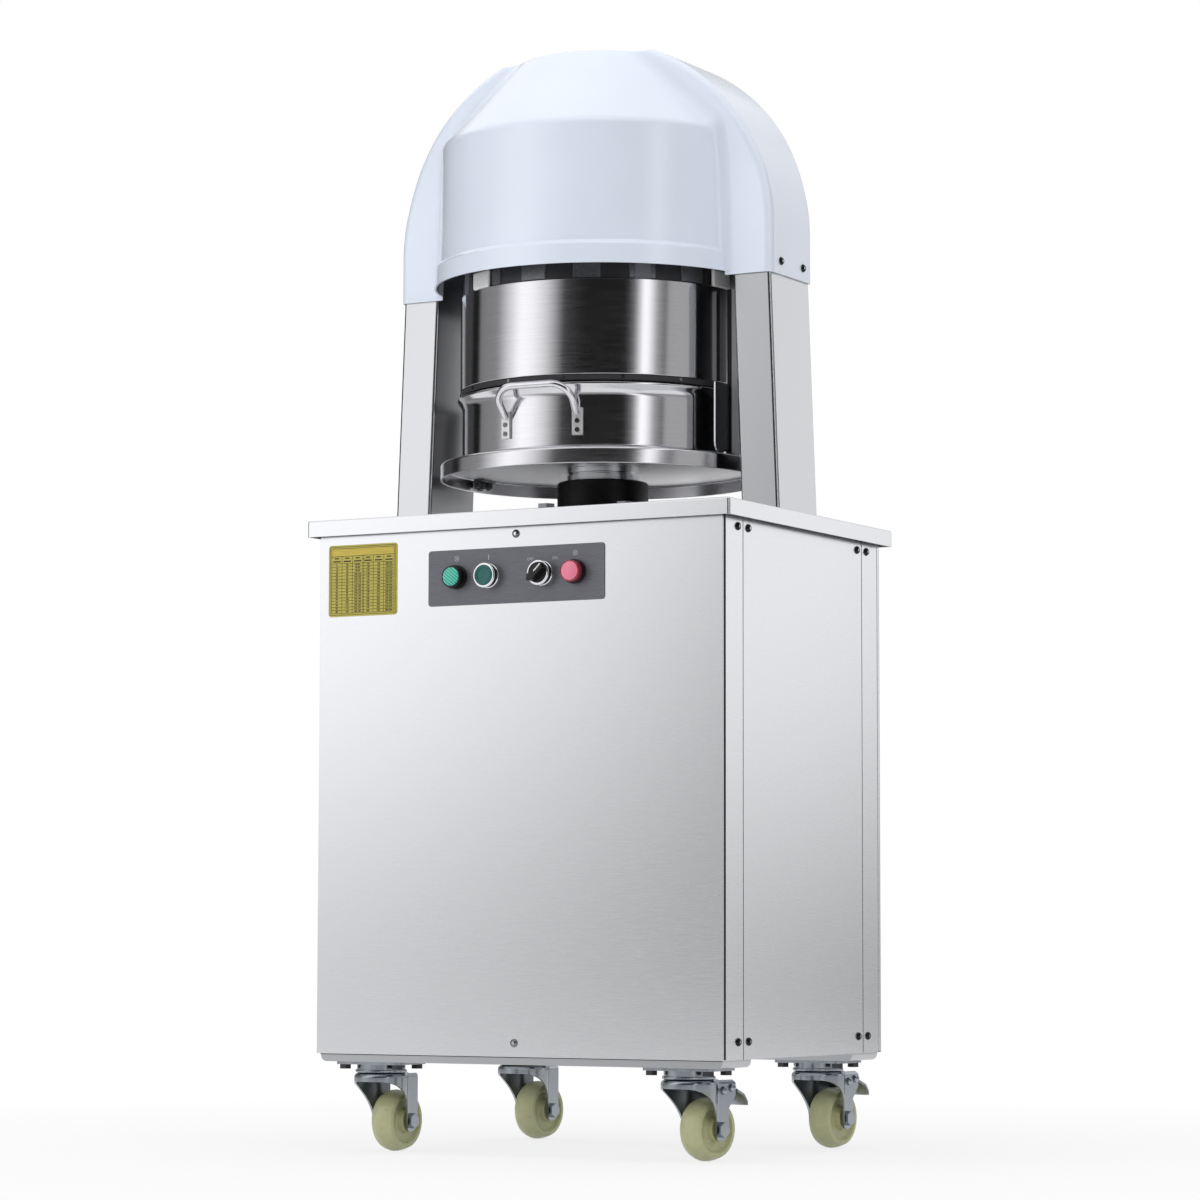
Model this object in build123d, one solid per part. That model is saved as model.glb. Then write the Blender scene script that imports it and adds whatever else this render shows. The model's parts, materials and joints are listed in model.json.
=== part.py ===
from build123d import *
import os
from math import asin, cos, degrees, radians, sin, sqrt

# Hydraulic dough divider on casters, in millimetres.
# The origin is on the floor under the middle of the cabinet, the front faces -Y and +Z is up.

# Cabinet
CABINET_WIDTH = 560.0
CABINET_DEPTH = 428.0
PANEL_SHEET = 2.0
PANEL_BOTTOM_Z = 120.0
PANEL_TOP_Z = 758.0
PANEL_SPACER_WIDTH = 30.0
PANEL_SPACER_EDGE = 5.0
PANEL_SPACER_END = 10.0
POST_SHEET = 2.5
POST_GAP = 4.0
POST_FRONT_LEG = 40.0
POST_SIDE_END_Y = 163.0
POST_LAP_END_Y = 135.0
POST_LAP_RAISE = 2.0
POST_BEND_ROUND = 2.2
SEAM_GAP = 1.6
RAIL_BOTTOM_Z = 110.5
RAIL_WIDTH = 72.0
RAIL_HALF_LENGTH = 277.0
RAIL_FRONT_Y = 209.0
RAIL_END_ROUND = 8.0
TRAY_FLOOR_SHEET = 3.0
FLOOR_LIP_TOP_Z = 150.0
BED_BOTTOM_Z = 759.0
BED_THICKNESS = 12.0
BED_FLANGE_DROP = 24.0
BED_FLANGE_SHEET = 5.0
BED_FLANGE_END = 5.0
TOP_PLATE_Z = 774.0
TOP_SHEET = 3.0
TOP_LIP_SHEET = 2.0
TOP_LIP_HEIGHT = 20.0
TOP_OVERHANG_X = 13.6
TOP_OVERHANG_Y = 9.9
TOP_CORNER_ROUND = 3.0
TOP_CORNER_SLIT = 0.8
TOP_SLIT_DROP = 1.0

# Screws of the covers
SCREW_SHANK_RADIUS = 2.0
SCREW_HEAD_RADIUS = 4.3
SCREW_HEAD_HEIGHT = 2.4
SCREW_HEAD_ROUND = 1.4
SCREW_HOLE_RADIUS = 2.2
SCREW_CROSS_WIDTH = 1.0
SCREW_CROSS_REACH = 2.6
SCREW_CROSS_DEPTH = 1.2
SCREW_LENGTH = 9.0
SIDE_SCREW_OFFSET = 13.4
SIDE_SCREW_HEIGHTS = (140.9, 744.2)
FRONT_SCREW_HEIGHTS = (136.4, 745.4)
HOOD_SCREW_Y = 30.0
HOOD_SCREW_Z = 1083.0

# Columns
COLUMN_INNER_X = 221.7
COLUMN_WIDTH = 50.9
COLUMN_DEPTH = 107.0
COLUMN_WALL = 3.0
COLUMN_LEAN = 0.0385
COLUMN_FOOT = 10.0
COLUMN_SHOULDER_Z = 1150.0
COLUMN_TOP_Z = 1240.0
COLUMN_TOP_OUTER_X = 229.0
COLUMN_BOLT_X = 247.0
COLUMN_BOLT_Y = 32.0
COLUMN_ROUND = 4.0

# Hood
HOOD_HALF_WIDTH = 264.5
HOOD_SPRING_Z = 1124.0
HOOD_RISE = 253.0
HOOD_BOTTOM_Z = 1067.0
HOOD_TOP_Z = 1354.5
HOOD_TOP_ROUND = 4.0
HOOD_TRIM = 9.0
HOOD_LEG_DEPTH = 115.0
HOOD_TOP_DEPTH = 149.0
HOOD_FLARE_Z = 1200.0
HOOD_FLARE_ROUND = 400.0
HOOD_WALL = 2.5
HOOD_RIDGE_ROUND = 9.5
HOOD_CREASE_ROUND = 20.0
DRUM_BOTTOM_Z = 1071.5
DRUM_SKIRT_RADIUS = 212.3
DRUM_SKIRT_INNER = 150.0
DRUM_STEP_Z = 1096.0
DRUM_STEP_RADIUS = 211.3
DRUM_STEP_HEIGHT = 6.5
DRUM_STEP_ROUND = 3.0
DRUM_LOWER_RADIUS = 205.3
DRUM_SHOULDER_RADIUS = 203.0
DRUM_SHOULDER_Z = 1250.0
DRUM_SHOULDER_ROUND = 14.0
DRUM_WALL_FLARE = 3.8 / 149.0
DRUM_CONE_SLOPE = 104.0 / 95.0

# Hydraulic lift
RAM_RADIUS = 46.0
RAM_BOTTOM_Z = 575.0
RAM_GUIDE_RADIUS = 49.0
RAM_GUIDE_HEIGHT = 15.0
RAM_GROOVE_Z = 836.0
RAM_GROOVE_HEIGHT = 2.5
RAM_GROOVE_DEPTH = 1.5
RUNNING_FIT = 0.05
GLAND_RADIUS = 57.0
GLAND_TOP_Z = 828.0
GLAND_EDGE_ROUND = 3.0
GLAND_FLANGE_RADIUS = 118.0
GLAND_FLANGE_HEIGHT = 10.0
RAM_OPENING_RADIUS = 50.0
BARREL_RADIUS = 57.0
BARREL_BOTTOM_Z = 533.0
BARREL_CAP = 14.0
BARREL_FLANGE = 14.0
PORT_Z = 556.0
PORT_RADIUS = 13.0
PORT_END_X = 74.0
PORT_ROOT_X = 47.0
BED_BOLT_RADIUS = 6.0
BED_BOLT_HOLE = 6.5
BED_BOLT_FLATS = 20.0
BED_BOLT_HEAD = 10.0
GLAND_BOLT_CIRCLE = 100.0
GLAND_BOLT_COUNT = 6
GLAND_BOLT_START = -105.0
TANK_HALF_LENGTH = 150.0
TANK_HALF_DEPTH = 110.0
TANK_TOP_Z = 288.0
TANK_SHEET = 3.0
MOTOR_X = -40.0
MOTOR_RADIUS = 66.0
MOTOR_TOP_Z = 520.0
MOTOR_FLANGE_RADIUS = 75.0
MOTOR_FLANGE = 12.0
MOTOR_FIN_COUNT = 24
MOTOR_FIN_REACH = 74.0
MOTOR_FIN_ROOT = 62.0
MOTOR_FIN_SHEET = 3.0
MOTOR_FIN_MARGIN = 20.0
MOTOR_FAN_COVER = 60.0
MOTOR_TOP_ROUND = 12.0
MOTOR_BOX_SIZE = (25.0, 80.0, 70.0)
PUMP_OPENING_RADIUS = 55.0
PUMP_HALF_SIZE = 32.0
PUMP_BOTTOM_Z = 175.0
PUMP_CORNER = 6.0
PUMP_NECK = 20.0
PUMP_NECK_RADIUS = 28.0
PUMP_STUB = 30.0
PUMP_STUB_RADIUS = 12.0
VALVE_X = 110.0
VALVE_HALF_SIZE = 30.0
VALVE_TOP_Z = 358.0
VALVE_COIL_RADIUS = 20.0
VALVE_COIL_LENGTH = 45.0
VALVE_FITTING = 14.0
HOSE_RADIUS = 8.0
HOSE_X = 126.0
HOSE_BEND = 46.0

# Tray and pan
TRAY_RADIUS = 203.5
TRAY_TOP_Z = 850.0
TRAY_THICKNESS = 5.0
TRAY_LIP_BOTTOM_Z = 829.5
TRAY_LIP_SHEET = 3.0
TRAY_EDGE_ROUND = 3.5
TRAY_BOLT_CIRCLE = 30.0
TRAY_BOLT_RADIUS = 4.0
TRAY_BOLT_HEAD_RADIUS = 8.0
TRAY_BOLT_HEAD = 4.0
TRAY_BOLT_LENGTH = 24.0
GUIDE_X = 186.0
GUIDE_SHEET = 2.0
GUIDE_FRONT_Y = -56.0
GUIDE_BACK_Y = -19.0
GUIDE_TOP_Z = 937.0
GUIDE_FOOT = 9.0
GUIDE_CORNER = 14.0
GUIDE_BOLT_X = 191.8
GUIDE_BOLT_Y = -29.0
GUIDE_BOLT_RADIUS = 2.0
GUIDE_BOLT_FLATS = 6.0
GUIDE_BOLT_HEAD = 3.0
SECOND_GUIDE_TURN = 180.0
PAN_RADIUS = 176.0
PAN_WALL = 1.6
PAN_FLOOR = 2.5
PAN_CORNER = 6.0
PAN_FLARE_Z = 920.0
PAN_RIM_RADIUS = 182.3
PAN_RIM_Z = 931.0
HANDLE_FOOT_X = 48.0
HANDLE_FOOT_WIDTH = 13.0
HANDLE_FOOT_SHEET = 3.0
HANDLE_FOOT_BOTTOM_Z = 867.0
HANDLE_FOOT_TOP_Z = 900.0
HANDLE_ROD_RADIUS = 4.4
HANDLE_HALF_WIDTH = 52.0
HANDLE_LENGTH = 43.0
HANDLE_TILT = 38.0
HANDLE_CORNER = 24.0
HANDLE_START_Z = 893.0
HANDLE_TURN = 3.3
RIVET_RADIUS = 1.8
RIVET_HOLE = 1.9
RIVET_HEAD_RADIUS = 2.9
RIVET_HEAD = 1.2
RIVET_SEAT = 0.05
RIVET_REACH = 5.0
RIVET_HEIGHTS = (873.0, 884.0)

# Dividing head
SLEEVE_RADIUS = 179.0
SLEEVE_WALL = 2.0
SLEEVE_BOTTOM_Z = 941.0
SLEEVE_TOP_Z = 1058.0
SLEEVE_FLANGE = 3.0
GASKET_BOTTOM_Z = 933.5
GASKET_RADIUS = 178.4
GASKET_INNER_RADIUS = 172.6
GASKET_SCREW_COUNT = 15
GASKET_SCREW_START = -77.0
GASKET_SCREW_Z = 937.8
GASKET_SCREW_HEAD_RADIUS = 2.2
GASKET_SCREW_HEAD = 1.0
GASKET_SCREW_SHANK = 1.2
GASKET_SCREW_INNER = 173.6
GASKET_SCREW_PLAY = 0.1
CELLS_INNER = 6
CELLS_OUTER = 14
KNIFE_THICKNESS = 2.0
KNIFE_RADIUS = 171.5
KNIFE_RING_RADIUS = 94.0
KNIFE_HUB_RADIUS = 8.0
KNIFE_EDGE_Z = 939.5
KNIFE_HEAD_BOTTOM_Z = 1050.0
KNIFE_HEAD_TOP_Z = 1084.0
KNIFE_HEAD_RADIUS = 174.5
NOTCH_COUNT = 16
NOTCH_WIDTH = 9.0
NOTCH_DEPTH = 13.0
STRAP_NOTCH_WIDTH = 34.0
STRAP_NOTCH_RADIUS = 168.0
PAD_BOTTOM_Z = 938.0
PAD_THICKNESS = 20.0
PAD_RADIUS = 171.0
PAD_GAP = 1.0
PAD_ROD_RADIUS = 5.0
PAD_ROD_HOLE = 5.5
PAD_ROD_INNER_CIRCLE = 59.0
PAD_ROD_OUTER_CIRCLE = 136.0
CARRIER_BOTTOM_Z = 1090.0
CARRIER_THICKNESS = 8.0
CARRIER_RADIUS = 165.0
CARRIER_ARM_ROOT = 155.0
STRAP_COUNT = 4
STRAP_WIDTH = 20.0
STRAP_INNER_RADIUS = 172.5
STRAP_BOTTOM_Z = 1030.0
PILLAR_RADIUS = 12.0
PILLAR_HOLE = 13.0
PILLAR_X = 105.0
PILLAR_Y = 25.0
BEAM_BOTTOM_Z = 1190.0
BEAM_HALF_DEPTH = 40.0
BEAM_BASE = 8.0
BEAM_FLANGE = 6.0

# Control plate and chart plate
CONTROL_PLATE_SIZE = (245.4, 67.7)
CONTROL_PLATE_Z = 695.6
CONTROL_PLATE_SHEET = 1.0
PLATE_CORNER = 4.0
CHART_PLATE_SIZE = (99.5, 88.3)
CHART_PLATE_X = -217.7
CHART_PLATE_Z = 698.6
CHART_PLATE_SHEET = 0.6
DEVICE_Z = 696.0
GREEN_LAMP_X = -82.5
START_BUTTON_X = -37.5
SELECTOR_X = 37.5
RED_LAMP_X = 82.5
DEVICE_BARREL_RADIUS = 11.0
DEVICE_HOLE_RADIUS = 11.2
DEVICE_BLOCK_SIZE = (30.0, 36.0, 44.0)
DEVICE_BARREL_BACK_Y = -190.0
LAMP_RING_RADIUS = 14.7
LAMP_RING_HEIGHT = 6.0
LAMP_LENS_RADIUS = 13.0
LAMP_LENS_HEIGHT = 9.0
LAMP_LENS_ROUND = 1.5
BEZEL_RADIUS = 15.2
BEZEL_BORE = 12.3
BEZEL_HEIGHT = 12.5
BEZEL_EDGE = 1.4
BUTTON_RADIUS = 12.0
BUTTON_CAP = 6.5
BUTTON_PROUD = 0.5
BUTTON_ROUND = 1.0
BUTTON_STEM_RADIUS = 4.5
BUTTON_STEM_LENGTH = 24.0
BUTTON_STEM_BORE = 4.8
KNOB_BASE_RADIUS = 11.9
KNOB_FRONT_Y = -238.0
KNOB_LEVER_LENGTH = 28.0
KNOB_LEVER_WIDTH = 9.0
KNOB_EDGE = 1.2
KNOB_BACK_GAP = 1.0
KNOB_REST_TURN = 45.0

# Electric box and cable gland
ELECTRIC_BOX_SIZE = (60.0, 180.0, 240.0)
ELECTRIC_BOX_X = -243.0
ELECTRIC_BOX_Z = 520.0
ELECTRIC_BOX_WALL = 3.0
CONTACTOR_REACH = 45.0
CONTACTOR_HALF_WIDTH = 22.0
CONTACTOR_HEIGHT = 70.0
CABLE_GLAND_X = 200.0
CABLE_GLAND_Z = 190.0
CABLE_GLAND_END_Y = 238.0
CABLE_BORE_RADIUS = 4.5
CABLE_THREAD_RADIUS = 10.0
CABLE_THREAD_LENGTH = 14.0
CABLE_NUT_HEIGHT = 6.0
CABLE_NUT_FLATS = 24.0
CABLE_LOCKNUT_FLATS = 26.0
CABLE_DOME_RADIUS = 10.5
CABLE_DOME_ROUND = 4.0
VENT_COUNT = 8
VENT_LENGTH = 110.0
VENT_HEIGHT = 6.0
VENT_PITCH = 18.0
VENT_BOTTOM_Z = 470.0
VENT_COLUMN_X = 90.0

# Casters
CASTER_X = 213.0
CASTER_Y = 172.0
CASTER_REST_TURNS = (-3.5, -13.0, -8.0, -7.0)
CASTER_PLATE_SIZE = (94.0, 65.0)
CASTER_PLATE_SHEET = 3.5
CASTER_PLATE_CORNER = 8.0
CASTER_RACE_RADIUS = 31.5
CASTER_RACE_UPPER_RADIUS = 29.5
CASTER_RACE_SPLIT_Z = 100.6
CASTER_RACE_BOTTOM_Z = 97.0
CASTER_RACE_ROUND = 1.0
CASTER_BOLT_SPACING = (75.0, 45.0)
CASTER_BOLT_RADIUS = 4.0
CASTER_BOLT_HOLE = 4.2
CASTER_BOLT_FLATS = 13.0
CASTER_BOLT_HEAD = 5.5
CASTER_BOLT_END_Z = 119.5
KINGPIN_RADIUS = 7.0
KINGPIN_HOLE = 7.4
KINGPIN_HEAD_RADIUS = 10.0
KINGPIN_HEAD_BOTTOM_Z = 89.5
KINGPIN_PLAY = 0.4
FORK_TOP_Z = 96.7
FORK_SHEET = 2.5
FORK_TOP_SHEET = 3.0
FORK_NOSE_RADIUS = 33.0
FORK_CROWN_ROUND = 6.0
FORK_WAIST_ROUND = 12.0
FORK_HALF_WIDTH = 22.0
FORK_NOSE_BOTTOM_Z = 86.0
FORK_SWEEP_POINT = (5.0, 71.0)
FORK_SLOT_FRONT = 31.0
FORK_BACK = 46.5
FORK_LEG_RADIUS = 13.5
FORK_EAR_BACK = 59.0
FORK_EAR_BOTTOM_Z = 77.0
FORK_EAR_ROOT_Z = 62.0
FORK_EAR_CORNER = 5.0
WHEEL_RADIUS = 37.5
WHEEL_TRAIL = 33.0
WHEEL_HALF_WIDTH = 16.0
WHEEL_HUB_RADIUS = 13.0
WHEEL_HUB_HALF_WIDTH = 18.5
WHEEL_WEB_HALF_WIDTH = 10.0
WHEEL_RIM_RADIUS = 27.0
WHEEL_TREAD_HALF_WIDTH = 7.0
WHEEL_SHOULDER_RADIUS = 28.5
WHEEL_BULGE = (35.2, 12.6)
WHEEL_DISH = 2.0
AXLE_RADIUS = 5.0
AXLE_HOLE = 5.1
AXLE_NUT_FLATS = 16.0
AXLE_HEAD = 6.0
AXLE_TIP = 3.0
AXLE_SEAT_RADIUS = 10.0
PEDAL_PIVOT_Y = 52.0
PEDAL_PIVOT_Z = 86.0
PEDAL_PIN_RADIUS = 2.5
PEDAL_BORE = 2.6
PEDAL_BARREL_RADIUS = 5.0
PEDAL_HALF_WIDTH = 17.0
PEDAL_BARREL_HALF_WIDTH = 18.5
PEDAL_TIP_Y = 76.0
PEDAL_TIP_Z = 65.0
PEDAL_FOOT_HALF_WIDTH = 28.0
PEDAL_FLARE_Y = (62.0, 68.0)
PEDAL_FOOT_CORNER = 2.5
PEDAL_SHEET = 3.0
PEDAL_BEND_Y = 60.0
PEDAL_SHOE_DROP = 12.0
PEDAL_SHOE_Y = (49.0, 57.0)
EAR_RIVET_Y = 37.0
EAR_RIVET_Z = 83.0
EAR_RIVET_HEAD_RADIUS = 4.5
EAR_RIVET_HEAD = 1.6

# Places worked out from the driving dimensions
HALF_WIDTH = CABINET_WIDTH / 2
HALF_DEPTH = CABINET_DEPTH / 2
PANEL_BACK_Y = HALF_DEPTH - PANEL_SHEET
POST_FACE_Y = PANEL_BACK_Y - POST_GAP
FLOOR_HALF_X = HALF_WIDTH - POST_SHEET
FLOOR_HALF_Y = POST_FACE_Y - POST_SHEET
BED_TOP_Z = BED_BOTTOM_Z + BED_THICKNESS
SEAM_Y = POST_SIDE_END_Y - SEAM_GAP / 2
CONTROL_FACE_Y = -HALF_DEPTH - CONTROL_PLATE_SHEET
PAN_INNER_RADIUS = PAN_RADIUS - PAN_WALL
TRAY_UNDERSIDE_Z = TRAY_TOP_Z - TRAY_THICKNESS
HANDLE_START_Y = -sqrt(PAN_RADIUS ** 2 - HANDLE_FOOT_X ** 2) - HANDLE_ROD_RADIUS
CASTER_PLATE_BOTTOM_Z = RAIL_BOTTOM_Z - CASTER_PLATE_SHEET
FAR = 400.0

# Extra reach of a cut past the face it opens, and the play of a screw in its hole
CUT = 1.0
HOLE_PLAY = 0.2


def block(x_span, y_span, z_span):
    """A box between two coordinates along each axis."""
    middle = [(low + high) / 2 for low, high in (x_span, y_span, z_span)]
    size = [high - low for low, high in (x_span, y_span, z_span)]
    return Pos(*middle) * Box(*size)


def both_ways(half):
    """The span from minus to plus a half size."""
    return (-half, half)


def disc(radius, z_span, at=(0, 0)):
    """An upright cylinder."""
    low, high = z_span
    return Pos(at[0], at[1], (low + high) / 2) * Cylinder(radius, high - low)


def ring(outer, inner, z_span):
    """An upright tube about the machine's axis."""
    return disc(outer, z_span) - disc(inner, z_span)


def pin_x(radius, x_span, y, z):
    """A cylinder along X."""
    low, high = x_span
    return Pos((low + high) / 2, y, z) * Rot(0, 90, 0) * Cylinder(radius, high - low)


def pin_y(radius, y_span, x, z):
    """A cylinder along Y."""
    low, high = y_span
    return Pos(x, (low + high) / 2, z) * Rot(90, 0, 0) * Cylinder(radius, high - low)


def hexagon(flats, z_span, at=(0, 0)):
    """An upright hexagonal prism measured across its flats."""
    low, high = z_span
    outline = RegularPolygon(flats / 2, 6, major_radius=False)
    return Pos(at[0], at[1], low) * extrude(outline, high - low)


def prism_y(points, half_depth):
    """A profile in X and Z, drawn out evenly to both sides along Y."""
    return extrude(Plane.XZ * make_face(Polyline(*points, close=True)), half_depth, both=True)


def turned(face):
    """A profile of radius and height turned about the machine's axis."""
    return revolve(Plane.XZ * face, Axis.Z)


def around(piece, count, start=0.0):
    """Copies of a piece spaced evenly about the machine's axis."""
    return [Rot(0, 0, start + 360.0 / count * turn) * piece for turn in range(count)]


def group(pieces):
    """Separate solids kept side by side in one sub-part."""
    return Compound([solid for piece in pieces for solid in piece.solids()])


def four_corners(piece):
    """A piece and its mirror images in the other three quarters."""
    pair = [piece, mirror(piece, about=Plane.YZ)]
    return pair + [mirror(each, about=Plane.XZ) for each in pair]


def side_screw_places():
    """Y and Z of the screws on each cabinet side."""
    places = []
    for seam in (-SEAM_Y, SEAM_Y):
        for offset in (-SIDE_SCREW_OFFSET, SIDE_SCREW_OFFSET):
            places += [(seam + offset, z) for z in SIDE_SCREW_HEIGHTS]
    return places


def side_screw_holes():
    """Clearance for the side screws, through both sides."""
    span = both_ways(HALF_WIDTH + CUT)
    return [pin_x(SCREW_HOLE_RADIUS, span, y, z) for y, z in side_screw_places()]


def front_screw_holes():
    """Clearance for the middle screws of the front and rear panels."""
    span = both_ways(HALF_DEPTH + CUT)
    return [pin_y(SCREW_HOLE_RADIUS, span, 0, z) for z in FRONT_SCREW_HEIGHTS]


def caster_centres():
    """Swivel axes: front left, front right, rear left, rear right."""
    return [(x, y) for y in (-CASTER_Y, CASTER_Y) for x in (-CASTER_X, CASTER_X)]


def caster_bolt_places():
    """Bolt centres of all four caster plates."""
    half_x = CASTER_BOLT_SPACING[0] / 2
    half_y = CASTER_BOLT_SPACING[1] / 2
    offsets = [(x, y) for x in both_ways(half_x) for y in both_ways(half_y)]
    return [(cx + x, cy + y) for cx, cy in caster_centres() for x, y in offsets]


def bed_bolt_places():
    """Bolt centres through the bed: round the gland and in the column feet."""
    places = []
    for turn in range(GLAND_BOLT_COUNT):
        angle = radians(GLAND_BOLT_START + 360.0 / GLAND_BOLT_COUNT * turn)
        places.append((GLAND_BOLT_CIRCLE * cos(angle), GLAND_BOLT_CIRCLE * sin(angle)))
    for x in both_ways(COLUMN_BOLT_X):
        places += [(x, y) for y in both_ways(COLUMN_BOLT_Y)]
    return places


def bed_bolt_holes(z_span):
    """Clearance for the bolts through the bed."""
    return [disc(BED_BOLT_HOLE, z_span, place) for place in bed_bolt_places()]


def corner_post():
    """The front right corner strip: two legs, a step and the lap behind the side panel."""
    full = (PANEL_BOTTOM_Z, BED_BOTTOM_Z)
    above_floor = (FLOOR_LIP_TOP_Z + POST_LAP_RAISE, PANEL_TOP_Z)
    lap_x = HALF_WIDTH - PANEL_SHEET
    step_y = -POST_SIDE_END_Y - POST_SHEET
    front = block((HALF_WIDTH - POST_FRONT_LEG, HALF_WIDTH), (-POST_FACE_Y, -FLOOR_HALF_Y), full)
    side = block((FLOOR_HALF_X, HALF_WIDTH), (-POST_FACE_Y, -POST_SIDE_END_Y), full)
    step = block((lap_x - POST_SHEET, HALF_WIDTH), (step_y, -POST_SIDE_END_Y), above_floor)
    lap = block((lap_x - POST_SHEET, lap_x), (step_y, -POST_LAP_END_Y), above_floor)
    post = front + side
    bend = post.edges().filter_by(Axis.Z).sort_by(lambda e: e.center().X - e.center().Y)[-1]
    return fillet(bend, POST_BEND_ROUND) + step + lap


def base_rail():
    """The front flat rail that carries two casters, with rounded lower ends."""
    y_span = (-RAIL_FRONT_Y, RAIL_WIDTH - RAIL_FRONT_Y)
    rail = block(both_ways(RAIL_HALF_LENGTH), y_span, (RAIL_BOTTOM_Z, PANEL_BOTTOM_Z))
    lower_ends = rail.edges().filter_by(Axis.Y).group_by(Axis.Z)[0]
    return fillet(lower_ends, RAIL_END_ROUND)


def cabinet_frame():
    """The welded frame: floor pan, two base rails and four corner strips."""
    inner_x = FLOOR_HALF_X - TRAY_FLOOR_SHEET
    inner_y = FLOOR_HALF_Y - TRAY_FLOOR_SHEET
    z_span = (PANEL_BOTTOM_Z, FLOOR_LIP_TOP_Z)
    floor = block(both_ways(FLOOR_HALF_X), both_ways(FLOOR_HALF_Y), z_span)
    hollow = (PANEL_BOTTOM_Z + TRAY_FLOOR_SHEET, FLOOR_LIP_TOP_Z + CUT)
    floor -= block(both_ways(inner_x), both_ways(inner_y), hollow)
    rail = base_rail()
    frame = floor + rail + mirror(rail, about=Plane.XZ) + four_corners(corner_post())
    bolt_span = (RAIL_BOTTOM_Z, PANEL_BOTTOM_Z)
    frame -= [disc(CASTER_BOLT_HOLE, bolt_span, place) for place in caster_bolt_places()]
    return frame - side_screw_holes() - front_screw_holes()


def bed_plate():
    """The thick plate that takes the press force, with flanges for the panel screws."""
    plate = block(both_ways(HALF_WIDTH), both_ways(POST_FACE_Y), (BED_BOTTOM_Z, BED_TOP_Z))
    flange_x = HALF_WIDTH - POST_FRONT_LEG - BED_FLANGE_END
    drop = (BED_BOTTOM_Z - BED_FLANGE_DROP, BED_BOTTOM_Z)
    flange = block(both_ways(flange_x), (-POST_FACE_Y, BED_FLANGE_SHEET - POST_FACE_Y), drop)
    plate += [flange, mirror(flange, about=Plane.XZ)]
    plate -= disc(RAM_OPENING_RADIUS, (BED_BOTTOM_Z, BED_TOP_Z))
    return plate - bed_bolt_holes((BED_BOTTOM_Z, BED_TOP_Z)) - front_screw_holes()


def wide_panel():
    """A full-width cabinet panel at the front, with its spacers and screw holes."""
    panel = block(
        both_ways(HALF_WIDTH), (-HALF_DEPTH, -PANEL_BACK_Y), (PANEL_BOTTOM_Z, PANEL_TOP_Z)
    )
    edge = HALF_WIDTH - PANEL_SPACER_EDGE
    strip_z = (PANEL_BOTTOM_Z + PANEL_SPACER_END, PANEL_TOP_Z - PANEL_SPACER_END)
    gap = (-PANEL_BACK_Y, -POST_FACE_Y)
    strip = block((edge - PANEL_SPACER_WIDTH, edge), gap, strip_z)
    half_pad = PANEL_SPACER_WIDTH / 2
    upper_pad = block(both_ways(half_pad), gap, (BED_BOTTOM_Z - BED_FLANGE_DROP, PANEL_TOP_Z))
    lower_span = (PANEL_BOTTOM_Z + PANEL_SPACER_EDGE, FLOOR_LIP_TOP_Z)
    lower_pad = block(both_ways(half_pad), (-PANEL_BACK_Y, -FLOOR_HALF_Y), lower_span)
    panel += [strip, mirror(strip, about=Plane.YZ), upper_pad, lower_pad]
    return panel - front_screw_holes()


def device_holes():
    """Round holes for the two lamps, the button and the selector."""
    span = (CONTROL_FACE_Y - CUT, -POST_FACE_Y)
    places = (GREEN_LAMP_X, START_BUTTON_X, SELECTOR_X, RED_LAMP_X)
    return [pin_y(DEVICE_HOLE_RADIUS, span, x, DEVICE_Z) for x in places]


def front_panel():
    """The front panel with the device holes."""
    return wide_panel() - device_holes()


def rear_panel():
    """The rear panel with two columns of vents and the cable gland's hole."""
    panel = mirror(wide_panel(), about=Plane.XZ)
    span = (PANEL_BACK_Y - CUT, HALF_DEPTH + CUT)
    for x in both_ways(VENT_COLUMN_X):
        for row in range(VENT_COUNT):
            z = VENT_BOTTOM_Z + VENT_PITCH * row
            half = VENT_LENGTH / 2 - VENT_HEIGHT / 2
            slot = block((x - half, x + half), span, (z - VENT_HEIGHT / 2, z + VENT_HEIGHT / 2))
            slot += [pin_y(VENT_HEIGHT / 2, span, end, z) for end in (x - half, x + half)]
            panel -= slot
    return panel - pin_y(CABLE_THREAD_RADIUS + HOLE_PLAY, span, CABLE_GLAND_X, CABLE_GLAND_Z)


def side_panel(side):
    """A cabinet side between the corner strips; side is -1 on the left and 1 on the right."""
    x_span = sorted((side * (HALF_WIDTH - PANEL_SHEET), side * HALF_WIDTH))
    y_span = both_ways(POST_SIDE_END_Y - SEAM_GAP)
    return block(x_span, y_span, (PANEL_BOTTOM_Z, PANEL_TOP_Z)) - side_screw_holes()


def top_plate():
    """The folded worktop sheet with slit lip corners and the ram's opening."""
    half_x = HALF_WIDTH + TOP_OVERHANG_X
    half_y = HALF_DEPTH + TOP_OVERHANG_Y
    lip_z = TOP_PLATE_Z - TOP_LIP_HEIGHT
    sheet_z = TOP_PLATE_Z - TOP_SHEET
    plate = block(both_ways(half_x), both_ways(half_y), (lip_z, TOP_PLATE_Z))
    plate = fillet(plate.edges().filter_by(Axis.Z), TOP_CORNER_ROUND)
    plate = fillet(plate.edges().group_by(Axis.Z)[-1], TOP_LIP_SHEET)
    inner = (both_ways(half_x - TOP_LIP_SHEET), both_ways(half_y - TOP_LIP_SHEET))
    plate -= block(*inner, (lip_z - CUT, sheet_z))
    slit_x = (half_x - TOP_LIP_SHEET - CUT, half_x + CUT)
    slit_y = (half_y - TOP_LIP_SHEET - TOP_CORNER_SLIT, half_y - TOP_LIP_SHEET)
    plate -= four_corners(block(slit_x, slit_y, (lip_z - CUT, sheet_z - TOP_SLIT_DROP)))
    plate -= disc(RAM_OPENING_RADIUS, (sheet_z, TOP_PLATE_Z))
    return plate - bed_bolt_holes((sheet_z, TOP_PLATE_Z))


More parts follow.
